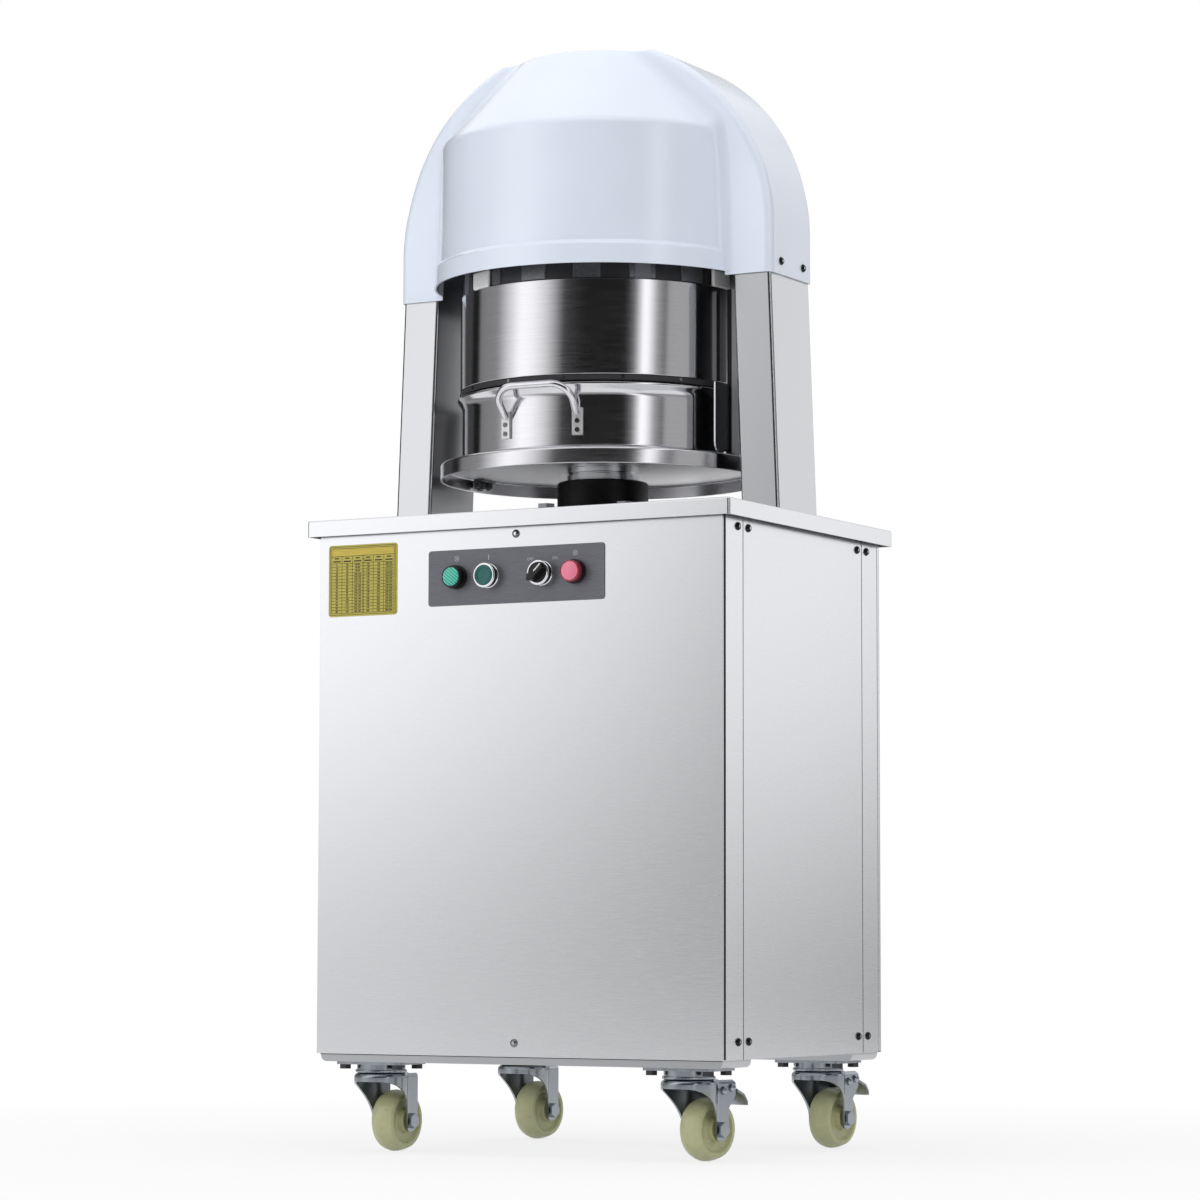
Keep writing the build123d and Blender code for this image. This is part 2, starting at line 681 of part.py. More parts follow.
def cover_screw():
    """A cross-head screw pointing up +Z, with its head's seat at the origin."""
    head = disc(SCREW_HEAD_RADIUS, (0, SCREW_HEAD_HEIGHT))
    head = fillet(head.edges().group_by(Axis.Z)[-1], SCREW_HEAD_ROUND)
    reach = SCREW_CROSS_REACH
    slot_z = (SCREW_HEAD_HEIGHT - SCREW_CROSS_DEPTH, SCREW_HEAD_HEIGHT + CUT)
    half = SCREW_CROSS_WIDTH / 2
    head -= block(both_ways(reach), both_ways(half), slot_z)
    head -= block(both_ways(half), both_ways(reach), slot_z)
    return head + disc(SCREW_SHANK_RADIUS, (-SCREW_LENGTH, 0))


def cover_screws():
    """All screws of the panels and the hood."""
    screw = cover_screw()
    screws = []
    for side in (-1, 1):
        turned_out = Rot(0, 90 * side, 0) * screw
        places = [(HALF_WIDTH, y, z) for y, z in side_screw_places()]
        places += [(HOOD_HALF_WIDTH, y, HOOD_SCREW_Z) for y in both_ways(HOOD_SCREW_Y)]
        screws += [Pos(side * x, y, z) * turned_out for x, y, z in places]
        outward = Rot(-90 * side, 0, 0) * screw
        screws += [Pos(0, side * HALF_DEPTH, z) * outward for z in FRONT_SCREW_HEIGHTS]
    return group(screws)


def column_face_x(z, from_inner):
    """X of the right column's face at a height; from_inner is measured from its inner face."""
    return COLUMN_INNER_X + from_inner - COLUMN_LEAN * (z - TOP_PLATE_Z)


def column(side):
    """A leaning box column on its foot plate, with its top cut to sit under the hood."""
    inner_low = column_face_x(TOP_PLATE_Z, 0)
    outer_low = column_face_x(TOP_PLATE_Z, COLUMN_WIDTH)
    shoulder = column_face_x(COLUMN_SHOULDER_Z, COLUMN_WIDTH)
    outline = [
        (inner_low, TOP_PLATE_Z),
        (outer_low, TOP_PLATE_Z),
        (shoulder, COLUMN_SHOULDER_Z),
        (COLUMN_TOP_OUTER_X, COLUMN_TOP_Z),
        (column_face_x(COLUMN_TOP_Z, 0), COLUMN_TOP_Z),
    ]
    foot_z = TOP_PLATE_Z + COLUMN_FOOT
    hollow = [
        (column_face_x(foot_z, COLUMN_WALL), foot_z),
        (column_face_x(foot_z, COLUMN_WIDTH - COLUMN_WALL), foot_z),
        (shoulder - COLUMN_WALL, COLUMN_SHOULDER_Z),
        (COLUMN_TOP_OUTER_X - COLUMN_WALL, COLUMN_TOP_Z),
        (column_face_x(COLUMN_TOP_Z, COLUMN_WALL), COLUMN_TOP_Z),
    ]
    tube = prism_y(outline, COLUMN_DEPTH / 2)
    long_edges = [e for e in tube.edges() if abs((e @ 1 - e @ 0).normalized().Z) > 0.9]
    tube = fillet(long_edges, COLUMN_ROUND)
    tube -= prism_y(hollow, COLUMN_DEPTH / 2 - COLUMN_WALL)
    tube -= [disc(BED_BOLT_HOLE, (TOP_PLATE_Z, foot_z), place) for place in bed_bolt_places()]
    span = (shoulder - SCREW_LENGTH, HOOD_HALF_WIDTH)
    tube -= [pin_x(SCREW_HOLE_RADIUS, span, y, HOOD_SCREW_Z) for y in both_ways(HOOD_SCREW_Y)]
    return tube if side > 0 else mirror(tube, about=Plane.YZ)


def bed_bolts():
    """Hex bolts with nuts through the bed: six round the gland and two in each column foot."""
    bolts = []
    for count, place in enumerate(bed_bolt_places()):
        in_gland = count < GLAND_BOLT_COUNT
        top = TOP_PLATE_Z + (GLAND_FLANGE_HEIGHT if in_gland else COLUMN_FOOT)
        bottom = BED_BOTTOM_Z - (BARREL_FLANGE if in_gland else 0)
        shank = disc(BED_BOLT_RADIUS, (bottom, top), place)
        head = hexagon(BED_BOLT_FLATS, (top, top + BED_BOLT_HEAD), place)
        nut = hexagon(BED_BOLT_FLATS, (bottom - BED_BOLT_HEAD, bottom), place)
        bolts.append(shank + head + nut)
    return group(bolts)


def all_above(z):
    """Everything higher than a level."""
    return block(both_ways(FAR), both_ways(FAR), (z, z + FAR))


def hood_arch(inset, bottom, top):
    """The band that runs up both sides as a half ellipse and deepens towards the crown."""
    half = HOOD_HALF_WIDTH - inset
    left = Line((-half, bottom), (-half, HOOD_SPRING_Z))
    arch = EllipticalCenterArc(
        (0, HOOD_SPRING_Z), half, HOOD_RISE - inset, start_angle=0, arc_size=180
    )
    right = Line((half, HOOD_SPRING_Z), (half, bottom))
    foot = Line((half, bottom), (-half, bottom))
    band = extrude(Plane.XZ * make_face([left, arch, right, foot]), HOOD_TOP_DEPTH, both=True)
    leg = HOOD_LEG_DEPTH / 2 - inset
    wide = HOOD_TOP_DEPTH / 2 - inset
    outline = [
        (-leg, bottom - CUT),
        (leg, bottom - CUT),
        (leg, HOOD_FLARE_Z),
        (wide, HOOD_TOP_Z),
        (wide, HOOD_TOP_Z + FAR),
        (-wide, HOOD_TOP_Z + FAR),
        (-wide, HOOD_TOP_Z),
        (-leg, HOOD_FLARE_Z),
    ]
    side = make_face(Polyline(*outline, close=True))
    side = fillet([v for v in side.vertices() if v.Y == HOOD_FLARE_Z], HOOD_FLARE_ROUND)
    band &= extrude(Plane.YZ * side, HOOD_HALF_WIDTH, both=True)
    ridges = [
        edge for edge in band.edges()
        if abs(edge.center().Y) > leg - CUT and edge.bounding_box().size.Z > CUT
    ]
    return fillet(ridges, HOOD_RIDGE_ROUND - inset) - all_above(top)


def hood_drum(inset, bottom, top):
    """The round body: slightly flared wall, soft shoulder and cone."""
    shoulder = DRUM_SHOULDER_RADIUS - inset
    outline = [
        (0, bottom),
        (shoulder + (DRUM_SHOULDER_Z - bottom) * DRUM_WALL_FLARE, bottom),
        (shoulder, DRUM_SHOULDER_Z),
        (shoulder - (top - DRUM_SHOULDER_Z) / DRUM_CONE_SLOPE, top),
        (0, top),
    ]
    face = make_face(Polyline(*outline, close=True))
    return turned(fillet([v for v in face.vertices() if v.X == shoulder], DRUM_SHOULDER_ROUND))


def hood_skirt(inset, bottom):
    """The wider ring round the foot of the drum, with a soft step above it."""
    step = DRUM_STEP_RADIUS - inset
    outline = [
        (DRUM_SKIRT_INNER, bottom),
        (DRUM_SKIRT_RADIUS - inset, bottom),
        (step, DRUM_STEP_Z),
        (DRUM_LOWER_RADIUS - inset, DRUM_STEP_Z + DRUM_STEP_HEIGHT),
        (DRUM_SKIRT_INNER, DRUM_STEP_Z + DRUM_STEP_HEIGHT),
    ]
    face = make_face(Polyline(*outline, close=True))
    return turned(fillet([v for v in face.vertices() if v.X == step], DRUM_STEP_ROUND))


def hood():
    """The moulded hood with soft creases, open underneath, with screw holes in its sides."""
    arch = hood_arch(0, HOOD_BOTTOM_Z, HOOD_TOP_Z + HOOD_TRIM)
    drum = hood_drum(0, HOOD_BOTTOM_Z, HOOD_TOP_Z + HOOD_TRIM)
    outside = arch + drum
    creases = [
        edge for edge in new_edges(arch, drum, combined=outside)
        if abs(edge.center().Y) > HOOD_LEG_DEPTH / 2 - CUT and edge.center().Z < HOOD_TOP_Z + CUT
    ]
    outside = fillet(creases, HOOD_CREASE_ROUND) - all_above(HOOD_TOP_Z)
    outside = fillet(outside.faces().sort_by(Axis.Z)[-1].edges(), HOOD_TOP_ROUND)
    outside += hood_skirt(0, HOOD_BOTTOM_Z)
    low = HOOD_BOTTOM_Z - CUT
    ceiling = HOOD_TOP_Z - HOOD_WALL
    inside = hood_arch(HOOD_WALL, low, ceiling) + hood_drum(HOOD_WALL, low, ceiling)
    inside += hood_skirt(HOOD_WALL, low)
    span = both_ways(HOOD_HALF_WIDTH + CUT)
    holes = [pin_x(SCREW_HOLE_RADIUS, span, y, HOOD_SCREW_Z) for y in both_ways(HOOD_SCREW_Y)]
    under = block(both_ways(FAR), (HOOD_LEG_DEPTH / 2, FAR), (low, DRUM_BOTTOM_Z))
    return outside - inside - holes - [under, mirror(under, about=Plane.XZ)]


def front_plate(size, x, z, thickness):
    """A thin plate with rounded corners, flat on the front panel."""
    plane = Plane((x, -HALF_DEPTH, z), x_dir=(1, 0, 0), z_dir=(0, -1, 0))
    return extrude(plane * RectangleRounded(*size, PLATE_CORNER), thickness)


def control_plate():
    """The dark plate behind the lamps and switches."""
    plate = front_plate(CONTROL_PLATE_SIZE, 0, CONTROL_PLATE_Z, CONTROL_PLATE_SHEET)
    return plate - device_holes()


def chart_plate():
    """The printed plate at the left of the front panel."""
    return front_plate(CHART_PLATE_SIZE, CHART_PLATE_X, CHART_PLATE_Z, CHART_PLATE_SHEET)


def switch_bodies():
    """Barrels and blocks of the four devices; each lamp's body has a ring in front of the plate."""
    width, depth, height = DEVICE_BLOCK_SIZE
    back = DEVICE_BARREL_BACK_Y
    bodies = []
    for x in (GREEN_LAMP_X, START_BUTTON_X, SELECTOR_X, RED_LAMP_X):
        body = pin_y(DEVICE_BARREL_RADIUS, (CONTROL_FACE_Y, back), x, DEVICE_Z)
        z_span = (DEVICE_Z - height / 2, DEVICE_Z + height / 2)
        body += block((x - width / 2, x + width / 2), (back, back + depth), z_span)
        if x in (GREEN_LAMP_X, RED_LAMP_X):
            face = CONTROL_FACE_Y - LAMP_RING_HEIGHT
            body += pin_y(LAMP_RING_RADIUS, (face, CONTROL_FACE_Y), x, DEVICE_Z)
        else:
            body -= pin_y(BUTTON_STEM_BORE, (CONTROL_FACE_Y - CUT, back + depth / 2), x, DEVICE_Z)
        bodies.append(body)
    return group(bodies)


def lamp_lens(x):
    """A round lamp lens with a softened front edge."""
    back = CONTROL_FACE_Y - LAMP_RING_HEIGHT
    lens = pin_y(LAMP_LENS_RADIUS, (back - LAMP_LENS_HEIGHT, back), x, DEVICE_Z)
    return fillet(lens.edges().group_by(Axis.Y)[0], LAMP_LENS_ROUND)


def button_bezels():
    """The two bright rings round the start button and the selector."""
    rings = []
    face = CONTROL_FACE_Y - BEZEL_HEIGHT
    for x in (START_BUTTON_X, SELECTOR_X):
        bezel = pin_y(BEZEL_RADIUS, (face, CONTROL_FACE_Y), x, DEVICE_Z)
        bezel = chamfer(bezel.edges().group_by(Axis.Y)[0], BEZEL_EDGE)
        rings.append(bezel - pin_y(BEZEL_BORE, (face - CUT, CONTROL_FACE_Y + CUT), x, DEVICE_Z))
    return group(rings)


def start_button():
    """The button cap and the stem that reaches into its switch body."""
    front = CONTROL_FACE_Y - BEZEL_HEIGHT - BUTTON_PROUD
    back = front + BUTTON_CAP
    cap = pin_y(BUTTON_RADIUS, (front, back), START_BUTTON_X, DEVICE_Z)
    cap = fillet(cap.edges().group_by(Axis.Y)[0], BUTTON_ROUND)
    stem_span = (back, back + BUTTON_STEM_LENGTH - BUTTON_CAP)
    return cap + pin_y(BUTTON_STEM_RADIUS, stem_span, START_BUTTON_X, DEVICE_Z)


def selector_knob():
    """The selector: a round base inside its bezel and a lever that points up and right."""
    front = CONTROL_FACE_Y - BEZEL_HEIGHT
    back = CONTROL_FACE_Y - KNOB_BACK_GAP
    base = disc(KNOB_BASE_RADIUS, (front, back))
    lever = extrude(SlotOverall(KNOB_LEVER_LENGTH, KNOB_LEVER_WIDTH), front - KNOB_FRONT_Y)
    lever = Pos(0, 0, KNOB_FRONT_Y) * lever
    lever = chamfer(lever.edges().group_by(Axis.Z)[0], KNOB_EDGE)
    stem = disc(BUTTON_STEM_RADIUS, (back, back + BUTTON_STEM_LENGTH / 2))
    lying = Rot(-90, 0, 0) * Rot(0, 0, -KNOB_REST_TURN) * (base + lever + stem)
    return Pos(SELECTOR_X, 0, DEVICE_Z) * lying


def electric_box():
    """The open switch box on the left side, with two contactors on its back."""
    depth, width, height = ELECTRIC_BOX_SIZE
    x_span = (ELECTRIC_BOX_X - depth / 2, ELECTRIC_BOX_X + depth / 2)
    y_span = both_ways(width / 2)
    z_span = (ELECTRIC_BOX_Z - height / 2, ELECTRIC_BOX_Z + height / 2)
    wall = ELECTRIC_BOX_WALL
    hollow = [(x_span[0] + wall, x_span[1] + CUT)]
    hollow += [(low + wall, high - wall) for low, high in (y_span, z_span)]
    box = block(x_span, y_span, z_span) - block(*hollow)
    contactor_x = (x_span[0] + wall, x_span[0] + CONTACTOR_REACH)
    contactor_z = (ELECTRIC_BOX_Z, ELECTRIC_BOX_Z + CONTACTOR_HEIGHT)
    half = CONTACTOR_HALF_WIDTH
    for y in both_ways(width / 4):
        box += block(contactor_x, (y - half, y + half), contactor_z)
    return box


def cable_gland():
    """The cord's gland at the rear, with its bore open right through."""
    flange = HALF_DEPTH + CABLE_NUT_HEIGHT
    place = Pos(CABLE_GLAND_X, 0, CABLE_GLAND_Z) * Rot(-90, 0, 0)
    body = hexagon(CABLE_NUT_FLATS, (HALF_DEPTH, flange))
    dome = disc(CABLE_DOME_RADIUS, (flange, CABLE_GLAND_END_Y))
    body += fillet(dome.edges().group_by(Axis.Z)[-1], CABLE_DOME_ROUND)
    thread_end = PANEL_BACK_Y - CABLE_THREAD_LENGTH
    body += disc(CABLE_THREAD_RADIUS, (thread_end, HALF_DEPTH))
    body += hexagon(CABLE_LOCKNUT_FLATS, (PANEL_BACK_Y - CABLE_NUT_HEIGHT, PANEL_BACK_Y))
    return place * (body - disc(CABLE_BORE_RADIUS, (thread_end - CUT, CABLE_GLAND_END_Y + CUT)))


def cylinder_barrel():
    """The lift cylinder under the bed, with its flange, bottom cap and oil port."""
    flange_z = BED_BOTTOM_Z - BARREL_FLANGE
    barrel = disc(BARREL_RADIUS, (BARREL_BOTTOM_Z, BED_BOTTOM_Z))
    barrel += disc(GLAND_FLANGE_RADIUS, (flange_z, BED_BOTTOM_Z))
    barrel += pin_x(PORT_RADIUS, (PORT_ROOT_X, PORT_END_X), 0, PORT_Z)
    barrel -= pin_x(HOSE_RADIUS / 2, (0, PORT_END_X + CUT), 0, PORT_Z)
    bore = RAM_GUIDE_RADIUS + RUNNING_FIT
    barrel -= disc(bore, (BARREL_BOTTOM_Z + BARREL_CAP, BED_BOTTOM_Z))
    return barrel - bed_bolt_holes((flange_z, BED_BOTTOM_Z))


def cylinder_gland():
    """The black collar and flange that guide the ram on top of the cabinet."""
    flange_z = TOP_PLATE_Z + GLAND_FLANGE_HEIGHT
    collar = disc(GLAND_RADIUS, (TOP_PLATE_Z, GLAND_TOP_Z))
    collar = fillet(collar.edges().group_by(Axis.Z)[-1], GLAND_EDGE_ROUND)
    collar += disc(GLAND_FLANGE_RADIUS, (TOP_PLATE_Z, flange_z))
    collar -= disc(RAM_RADIUS + RUNNING_FIT, (TOP_PLATE_Z, GLAND_TOP_Z))
    return collar - bed_bolt_holes((TOP_PLATE_Z, flange_z))


def tray_bolt_places():
    """Centres of the four screws between tray and ram."""
    step = TRAY_BOLT_CIRCLE / sqrt(2)
    return [(x, y) for x in both_ways(step) for y in both_ways(step)]


def ram():
    """The bright plunger with its guide ring, groove and tapped holes."""
    body = disc(RAM_RADIUS, (RAM_BOTTOM_Z, TRAY_UNDERSIDE_Z))
    body += disc(RAM_GUIDE_RADIUS, (RAM_BOTTOM_Z, RAM_BOTTOM_Z + RAM_GUIDE_HEIGHT))
    groove = (RAM_GROOVE_Z, RAM_GROOVE_Z + RAM_GROOVE_HEIGHT)
    body -= ring(RAM_RADIUS + CUT, RAM_RADIUS - RAM_GROOVE_DEPTH, groove)
    holes = (TRAY_TOP_Z - TRAY_BOLT_LENGTH - CUT, TRAY_UNDERSIDE_Z)
    return body - [disc(TRAY_BOLT_RADIUS + HOLE_PLAY, holes, place) for place in tray_bolt_places()]


def oil_tank():
    """The welded oil tank on the cabinet floor, with the pump's round opening on top."""
    bottom = PANEL_BOTTOM_Z + TRAY_FLOOR_SHEET
    outside = (both_ways(TANK_HALF_LENGTH), both_ways(TANK_HALF_DEPTH), (bottom, TANK_TOP_Z))
    inside = (
        both_ways(TANK_HALF_LENGTH - TANK_SHEET),
        both_ways(TANK_HALF_DEPTH - TANK_SHEET),
        (bottom + TANK_SHEET, TANK_TOP_Z - TANK_SHEET),
    )
    tank = block(*outside) - block(*inside)
    opening = (TANK_TOP_Z - TANK_SHEET - CUT, TANK_TOP_Z + CUT)
    return tank - disc(PUMP_OPENING_RADIUS, opening, (MOTOR_X, 0))


def pump_motor():
    """The upright finned motor with its mounting flange, fan cover and terminal box."""
    flange_top = TANK_TOP_Z + MOTOR_FLANGE
    body = disc(MOTOR_RADIUS, (flange_top, MOTOR_TOP_Z))
    body = fillet(body.edges().group_by(Axis.Z)[-1], MOTOR_TOP_ROUND)
    fin_z = (flange_top + MOTOR_FIN_MARGIN, MOTOR_TOP_Z - MOTOR_FAN_COVER)
    fin = block((MOTOR_FIN_ROOT, MOTOR_FIN_REACH), both_ways(MOTOR_FIN_SHEET / 2), fin_z)
    body += around(fin, MOTOR_FIN_COUNT)
    body += disc(MOTOR_FLANGE_RADIUS, (TANK_TOP_Z, flange_top))
    box_x = (-MOTOR_FIN_REACH - MOTOR_BOX_SIZE[0], -MOTOR_FIN_ROOT)
    box_z = (fin_z[0], fin_z[0] + MOTOR_BOX_SIZE[2])
    body += block(box_x, both_ways(MOTOR_BOX_SIZE[1] / 2), box_z)
    return Pos(MOTOR_X, 0, 0) * body


def gear_pump():
    """The gear pump under the motor, hanging in the tank with its suction stub."""
    top = TANK_TOP_Z
    half = PUMP_HALF_SIZE
    body = block(both_ways(half), both_ways(half), (PUMP_BOTTOM_Z, top - PUMP_NECK))
    body = fillet(body.edges().filter_by(Axis.Z), PUMP_CORNER)
    body += disc(PUMP_NECK_RADIUS, (top - PUMP_NECK, top))
    body += disc(PUMP_STUB_RADIUS, (PUMP_BOTTOM_Z - PUMP_STUB, PUMP_BOTTOM_Z))
    return Pos(MOTOR_X, 0, 0) * body


def valve_block():
    """The valve block on the tank, with its coil on the side and the hose fitting on top."""
    half = VALVE_HALF_SIZE
    x_span = (VALVE_X - half, VALVE_X + half)
    body = block(x_span, both_ways(half), (TANK_TOP_Z, VALVE_TOP_Z))
    middle = (TANK_TOP_Z + VALVE_TOP_Z) / 2
    body += pin_y(VALVE_COIL_RADIUS, (half, half + VALVE_COIL_LENGTH), VALVE_X, middle)
    return body + disc(PORT_RADIUS, (VALVE_TOP_Z, VALVE_TOP_Z + VALVE_FITTING), (HOSE_X, 0))


def pressure_hose():
    """The hose from the valve block up to the cylinder's port."""
    start = (HOSE_X, 0, VALVE_TOP_Z + VALVE_FITTING)
    corner = (HOSE_X, 0, PORT_Z)
    end = (PORT_END_X, 0, PORT_Z)
    route = FilletPolyline(start, corner, end, radius=HOSE_BEND)
    return sweep(Plane(start, z_dir=(0, 0, 1)) * Circle(HOSE_RADIUS), route)


def tray():
    """The upside-down dish that carries the pan, with countersunk and guide bolt holes."""
    lip_inner = TRAY_RADIUS - TRAY_LIP_SHEET
    outline = [
        (0, TRAY_UNDERSIDE_Z),
        (lip_inner, TRAY_UNDERSIDE_Z),
        (lip_inner, TRAY_LIP_BOTTOM_Z),
        (TRAY_RADIUS, TRAY_LIP_BOTTOM_Z),
        (TRAY_RADIUS, TRAY_TOP_Z),
        (0, TRAY_TOP_Z),
    ]
    face = make_face(Polyline(*outline, close=True))
    edge = face.vertices().sort_by(lambda v: v.X + v.Y)[-1]
    dish = turned(fillet(edge, TRAY_EDGE_ROUND))
    holes = [tray_screw(HOLE_PLAY, place) for place in tray_bolt_places()]
    for place in guide_bolt_places():
        holes.append(disc(GUIDE_BOLT_RADIUS + HOLE_PLAY, (TRAY_UNDERSIDE_Z, TRAY_TOP_Z), place))
    return dish - holes


def tray_screw(clearance, place):
    """A countersunk screw down through the tray, or its hole when given a clearance."""
    head_z = TRAY_TOP_Z - TRAY_BOLT_HEAD
    head = Cone(
        TRAY_BOLT_RADIUS + clearance, TRAY_BOLT_HEAD_RADIUS + clearance, TRAY_BOLT_HEAD
    )
    shank = disc(TRAY_BOLT_RADIUS + clearance, (TRAY_TOP_Z - TRAY_BOLT_LENGTH, head_z))
    upper = Pos(0, 0, head_z + TRAY_BOLT_HEAD / 2) * head
    return Pos(place[0], place[1], 0) * (shank + upper)


def guide_bolt_places():
    """Bolt centres of the right and left guide."""
    angle = radians(SECOND_GUIDE_TURN)
    x, y = GUIDE_BOLT_X, GUIDE_BOLT_Y
    return [(x, y), (x * cos(angle) - y * sin(angle), x * sin(angle) + y * cos(angle))]


def tray_bolts():
    """The screws that hold the tray on the ram and the bolts of the pan guides."""
    bolts = [tray_screw(0, place) for place in tray_bolt_places()]
    foot_top = TRAY_TOP_Z + GUIDE_SHEET
    for place in guide_bolt_places():
        head = hexagon(GUIDE_BOLT_FLATS, (foot_top, foot_top + GUIDE_BOLT_HEAD), place)
        shank = disc(GUIDE_BOLT_RADIUS, (TRAY_UNDERSIDE_Z, foot_top), place)
        nut_z = (TRAY_UNDERSIDE_Z - GUIDE_BOLT_HEAD, TRAY_UNDERSIDE_Z)
        bolts.append(head + shank + hexagon(GUIDE_BOLT_FLATS, nut_z, place))
    return group(bolts)


def pan_guide():
    """The upright plate beside the pan, folded out into a foot."""
    wall_x = (GUIDE_X, GUIDE_X + GUIDE_SHEET)
    y_span = (GUIDE_FRONT_Y, GUIDE_BACK_Y)
    plate = block(wall_x, y_span, (TRAY_TOP_Z, GUIDE_TOP_Z))
    corners = plate.edges().filter_by(Axis.X).group_by(Axis.Y)[0].sort_by(Axis.Z)
    plate = fillet(corners[0], GUIDE_CORNER)
    foot_z = (TRAY_TOP_Z, TRAY_TOP_Z + GUIDE_SHEET)
    foot = block((GUIDE_X, GUIDE_X + GUIDE_FOOT), (GUIDE_FRONT_Y + GUIDE_CORNER, GUIDE_BACK_Y), foot_z)
    return plate + foot - disc(GUIDE_BOLT_RADIUS + HOLE_PLAY, foot_z, (GUIDE_BOLT_X, GUIDE_BOLT_Y))


def pan_guides():
    """The guide at the right of the tray and a like one at the left."""
    guide = pan_guide()
    return group([guide, Rot(0, 0, SECOND_GUIDE_TURN) * guide])


def pan_profile():
    """Half section of the pan: floor, rounded corner, wall and flared rim."""
    inner = PAN_INNER_RADIUS
    floor_z = TRAY_TOP_Z + PAN_FLOOR
    rim_inner = PAN_RIM_RADIUS - PAN_WALL
    outline = [
        (0, TRAY_TOP_Z),
        (PAN_RADIUS, TRAY_TOP_Z),
        (PAN_RADIUS, PAN_FLARE_Z),
        (PAN_RIM_RADIUS, PAN_RIM_Z - PAN_WALL),
        (PAN_RIM_RADIUS, PAN_RIM_Z),
        (rim_inner, PAN_RIM_Z),
        (inner, PAN_FLARE_Z + PAN_WALL / 2),
        (inner, floor_z),
        (0, floor_z),
    ]
    face = make_face(Polyline(*outline, close=True))
    outer_corner = [v for v in face.vertices() if v.X == PAN_RADIUS and v.Y == TRAY_TOP_Z]
    inner_corner = [v for v in face.vertices() if v.X == inner and v.Y == floor_z]
    face = fillet(outer_corner, PAN_CORNER)
    return fillet(inner_corner, PAN_CORNER - PAN_WALL)


def rivet_places():
    """Angle and height of every handle rivet, angles from +X about the axis."""
    swing = degrees(asin(HANDLE_FOOT_X / PAN_RADIUS))
    front = HANDLE_TURN - 90
    angles = [middle + side * swing for middle in (front, -front) for side in (-1, 1)]
    return [(angle, z) for angle in angles for z in RIVET_HEIGHTS]


def rivet_holes():
    """Clearance for the handle rivets."""
    span = (PAN_INNER_RADIUS - RIVET_REACH, PAN_RADIUS + HANDLE_FOOT_SHEET + RIVET_REACH)
    return [Rot(0, 0, angle) * pin_x(RIVET_HOLE, span, 0, z) for angle, z in rivet_places()]


def dough_pan():
    """The deep round pan."""
    return turned(pan_profile()) - rivet_holes()


def pan_handle():
    """The front handle: two curved feet on the pan wall and a bowed rod leaning outwards."""
    foot_z = (HANDLE_FOOT_BOTTOM_Z, HANDLE_FOOT_TOP_Z)
    shell = ring(PAN_RADIUS + HANDLE_FOOT_SHEET, PAN_RADIUS, foot_z)
    swing = degrees(asin(HANDLE_FOOT_X / PAN_RADIUS))
    pad_x = (PAN_RADIUS - RIVET_REACH, PAN_RADIUS + HANDLE_FOOT_SHEET + CUT)
    pad = block(pad_x, both_ways(HANDLE_FOOT_WIDTH / 2), foot_z)
    feet = [shell & Rot(0, 0, -90 + side * swing) * pad for side in (-1, 1)]
    tilt = radians(HANDLE_TILT)
    plane = Plane(
        (0, HANDLE_START_Y, HANDLE_START_Z), x_dir=(1, 0, 0), z_dir=(0, -cos(tilt), -sin(tilt))
    )
    bow = FilletPolyline(
        (-HANDLE_FOOT_X, 0),
        (-HANDLE_HALF_WIDTH, HANDLE_LENGTH),
        (HANDLE_HALF_WIDTH, HANDLE_LENGTH),
        (HANDLE_FOOT_X, 0),
        radius=HANDLE_CORNER,
    )
    route = plane * bow
    section = Plane(route @ 0, z_dir=route % 0) * Circle(HANDLE_ROD_RADIUS)
    return Rot(0, 0, HANDLE_TURN) * (sweep(section, route) + feet)


def pan_handles():
    """The front handle and a like one at the rear."""
    front = pan_handle() - rivet_holes()
    return group([front, mirror(front, about=Plane.XZ)])


def handle_rivets():
    """The rivets that hold both handles on the pan."""
    rivets = []
    outer = PAN_RADIUS + HANDLE_FOOT_SHEET
    for angle, z in rivet_places():
        inner = PAN_INNER_RADIUS - RIVET_SEAT
        rivet = pin_x(RIVET_RADIUS, (inner, outer), 0, z)
        rivet += pin_x(RIVET_HEAD_RADIUS, (outer, outer + RIVET_HEAD), 0, z)
        rivet += pin_x(RIVET_HEAD_RADIUS, (inner - RIVET_HEAD, inner), 0, z)
        rivets.append(Rot(0, 0, angle) * rivet)
    return group(rivets)


def head_beam():
    """The open channel between the columns with the four pillars that hold the knife head."""
    outline = [
        (-column_face_x(BEAM_BOTTOM_Z, 0), BEAM_BOTTOM_Z),
        (column_face_x(BEAM_BOTTOM_Z, 0), BEAM_BOTTOM_Z),
        (column_face_x(COLUMN_TOP_Z, 0), COLUMN_TOP_Z),
        (-column_face_x(COLUMN_TOP_Z, 0), COLUMN_TOP_Z),
    ]
    beam = prism_y(outline, BEAM_HALF_DEPTH)
    channel_y = both_ways(BEAM_HALF_DEPTH - BEAM_FLANGE)
    channel_z = (BEAM_BOTTOM_Z + BEAM_BASE, COLUMN_TOP_Z + CUT)
    beam -= block(both_ways(COLUMN_INNER_X), channel_y, channel_z)
    pillar = disc(PILLAR_RADIUS, (KNIFE_HEAD_TOP_Z, BEAM_BOTTOM_Z), (PILLAR_X, PILLAR_Y))
    return beam + four_corners(pillar)


def pad_rod_places():
    """Radius and angle of each press pad's rod, inner ring first."""
    places = []
    for count, circle in ((CELLS_INNER, PAD_ROD_INNER_CIRCLE), (CELLS_OUTER, PAD_ROD_OUTER_CIRCLE)):
        places += [(circle, 360.0 / count * (turn + 0.5)) for turn in range(count)]
    return places


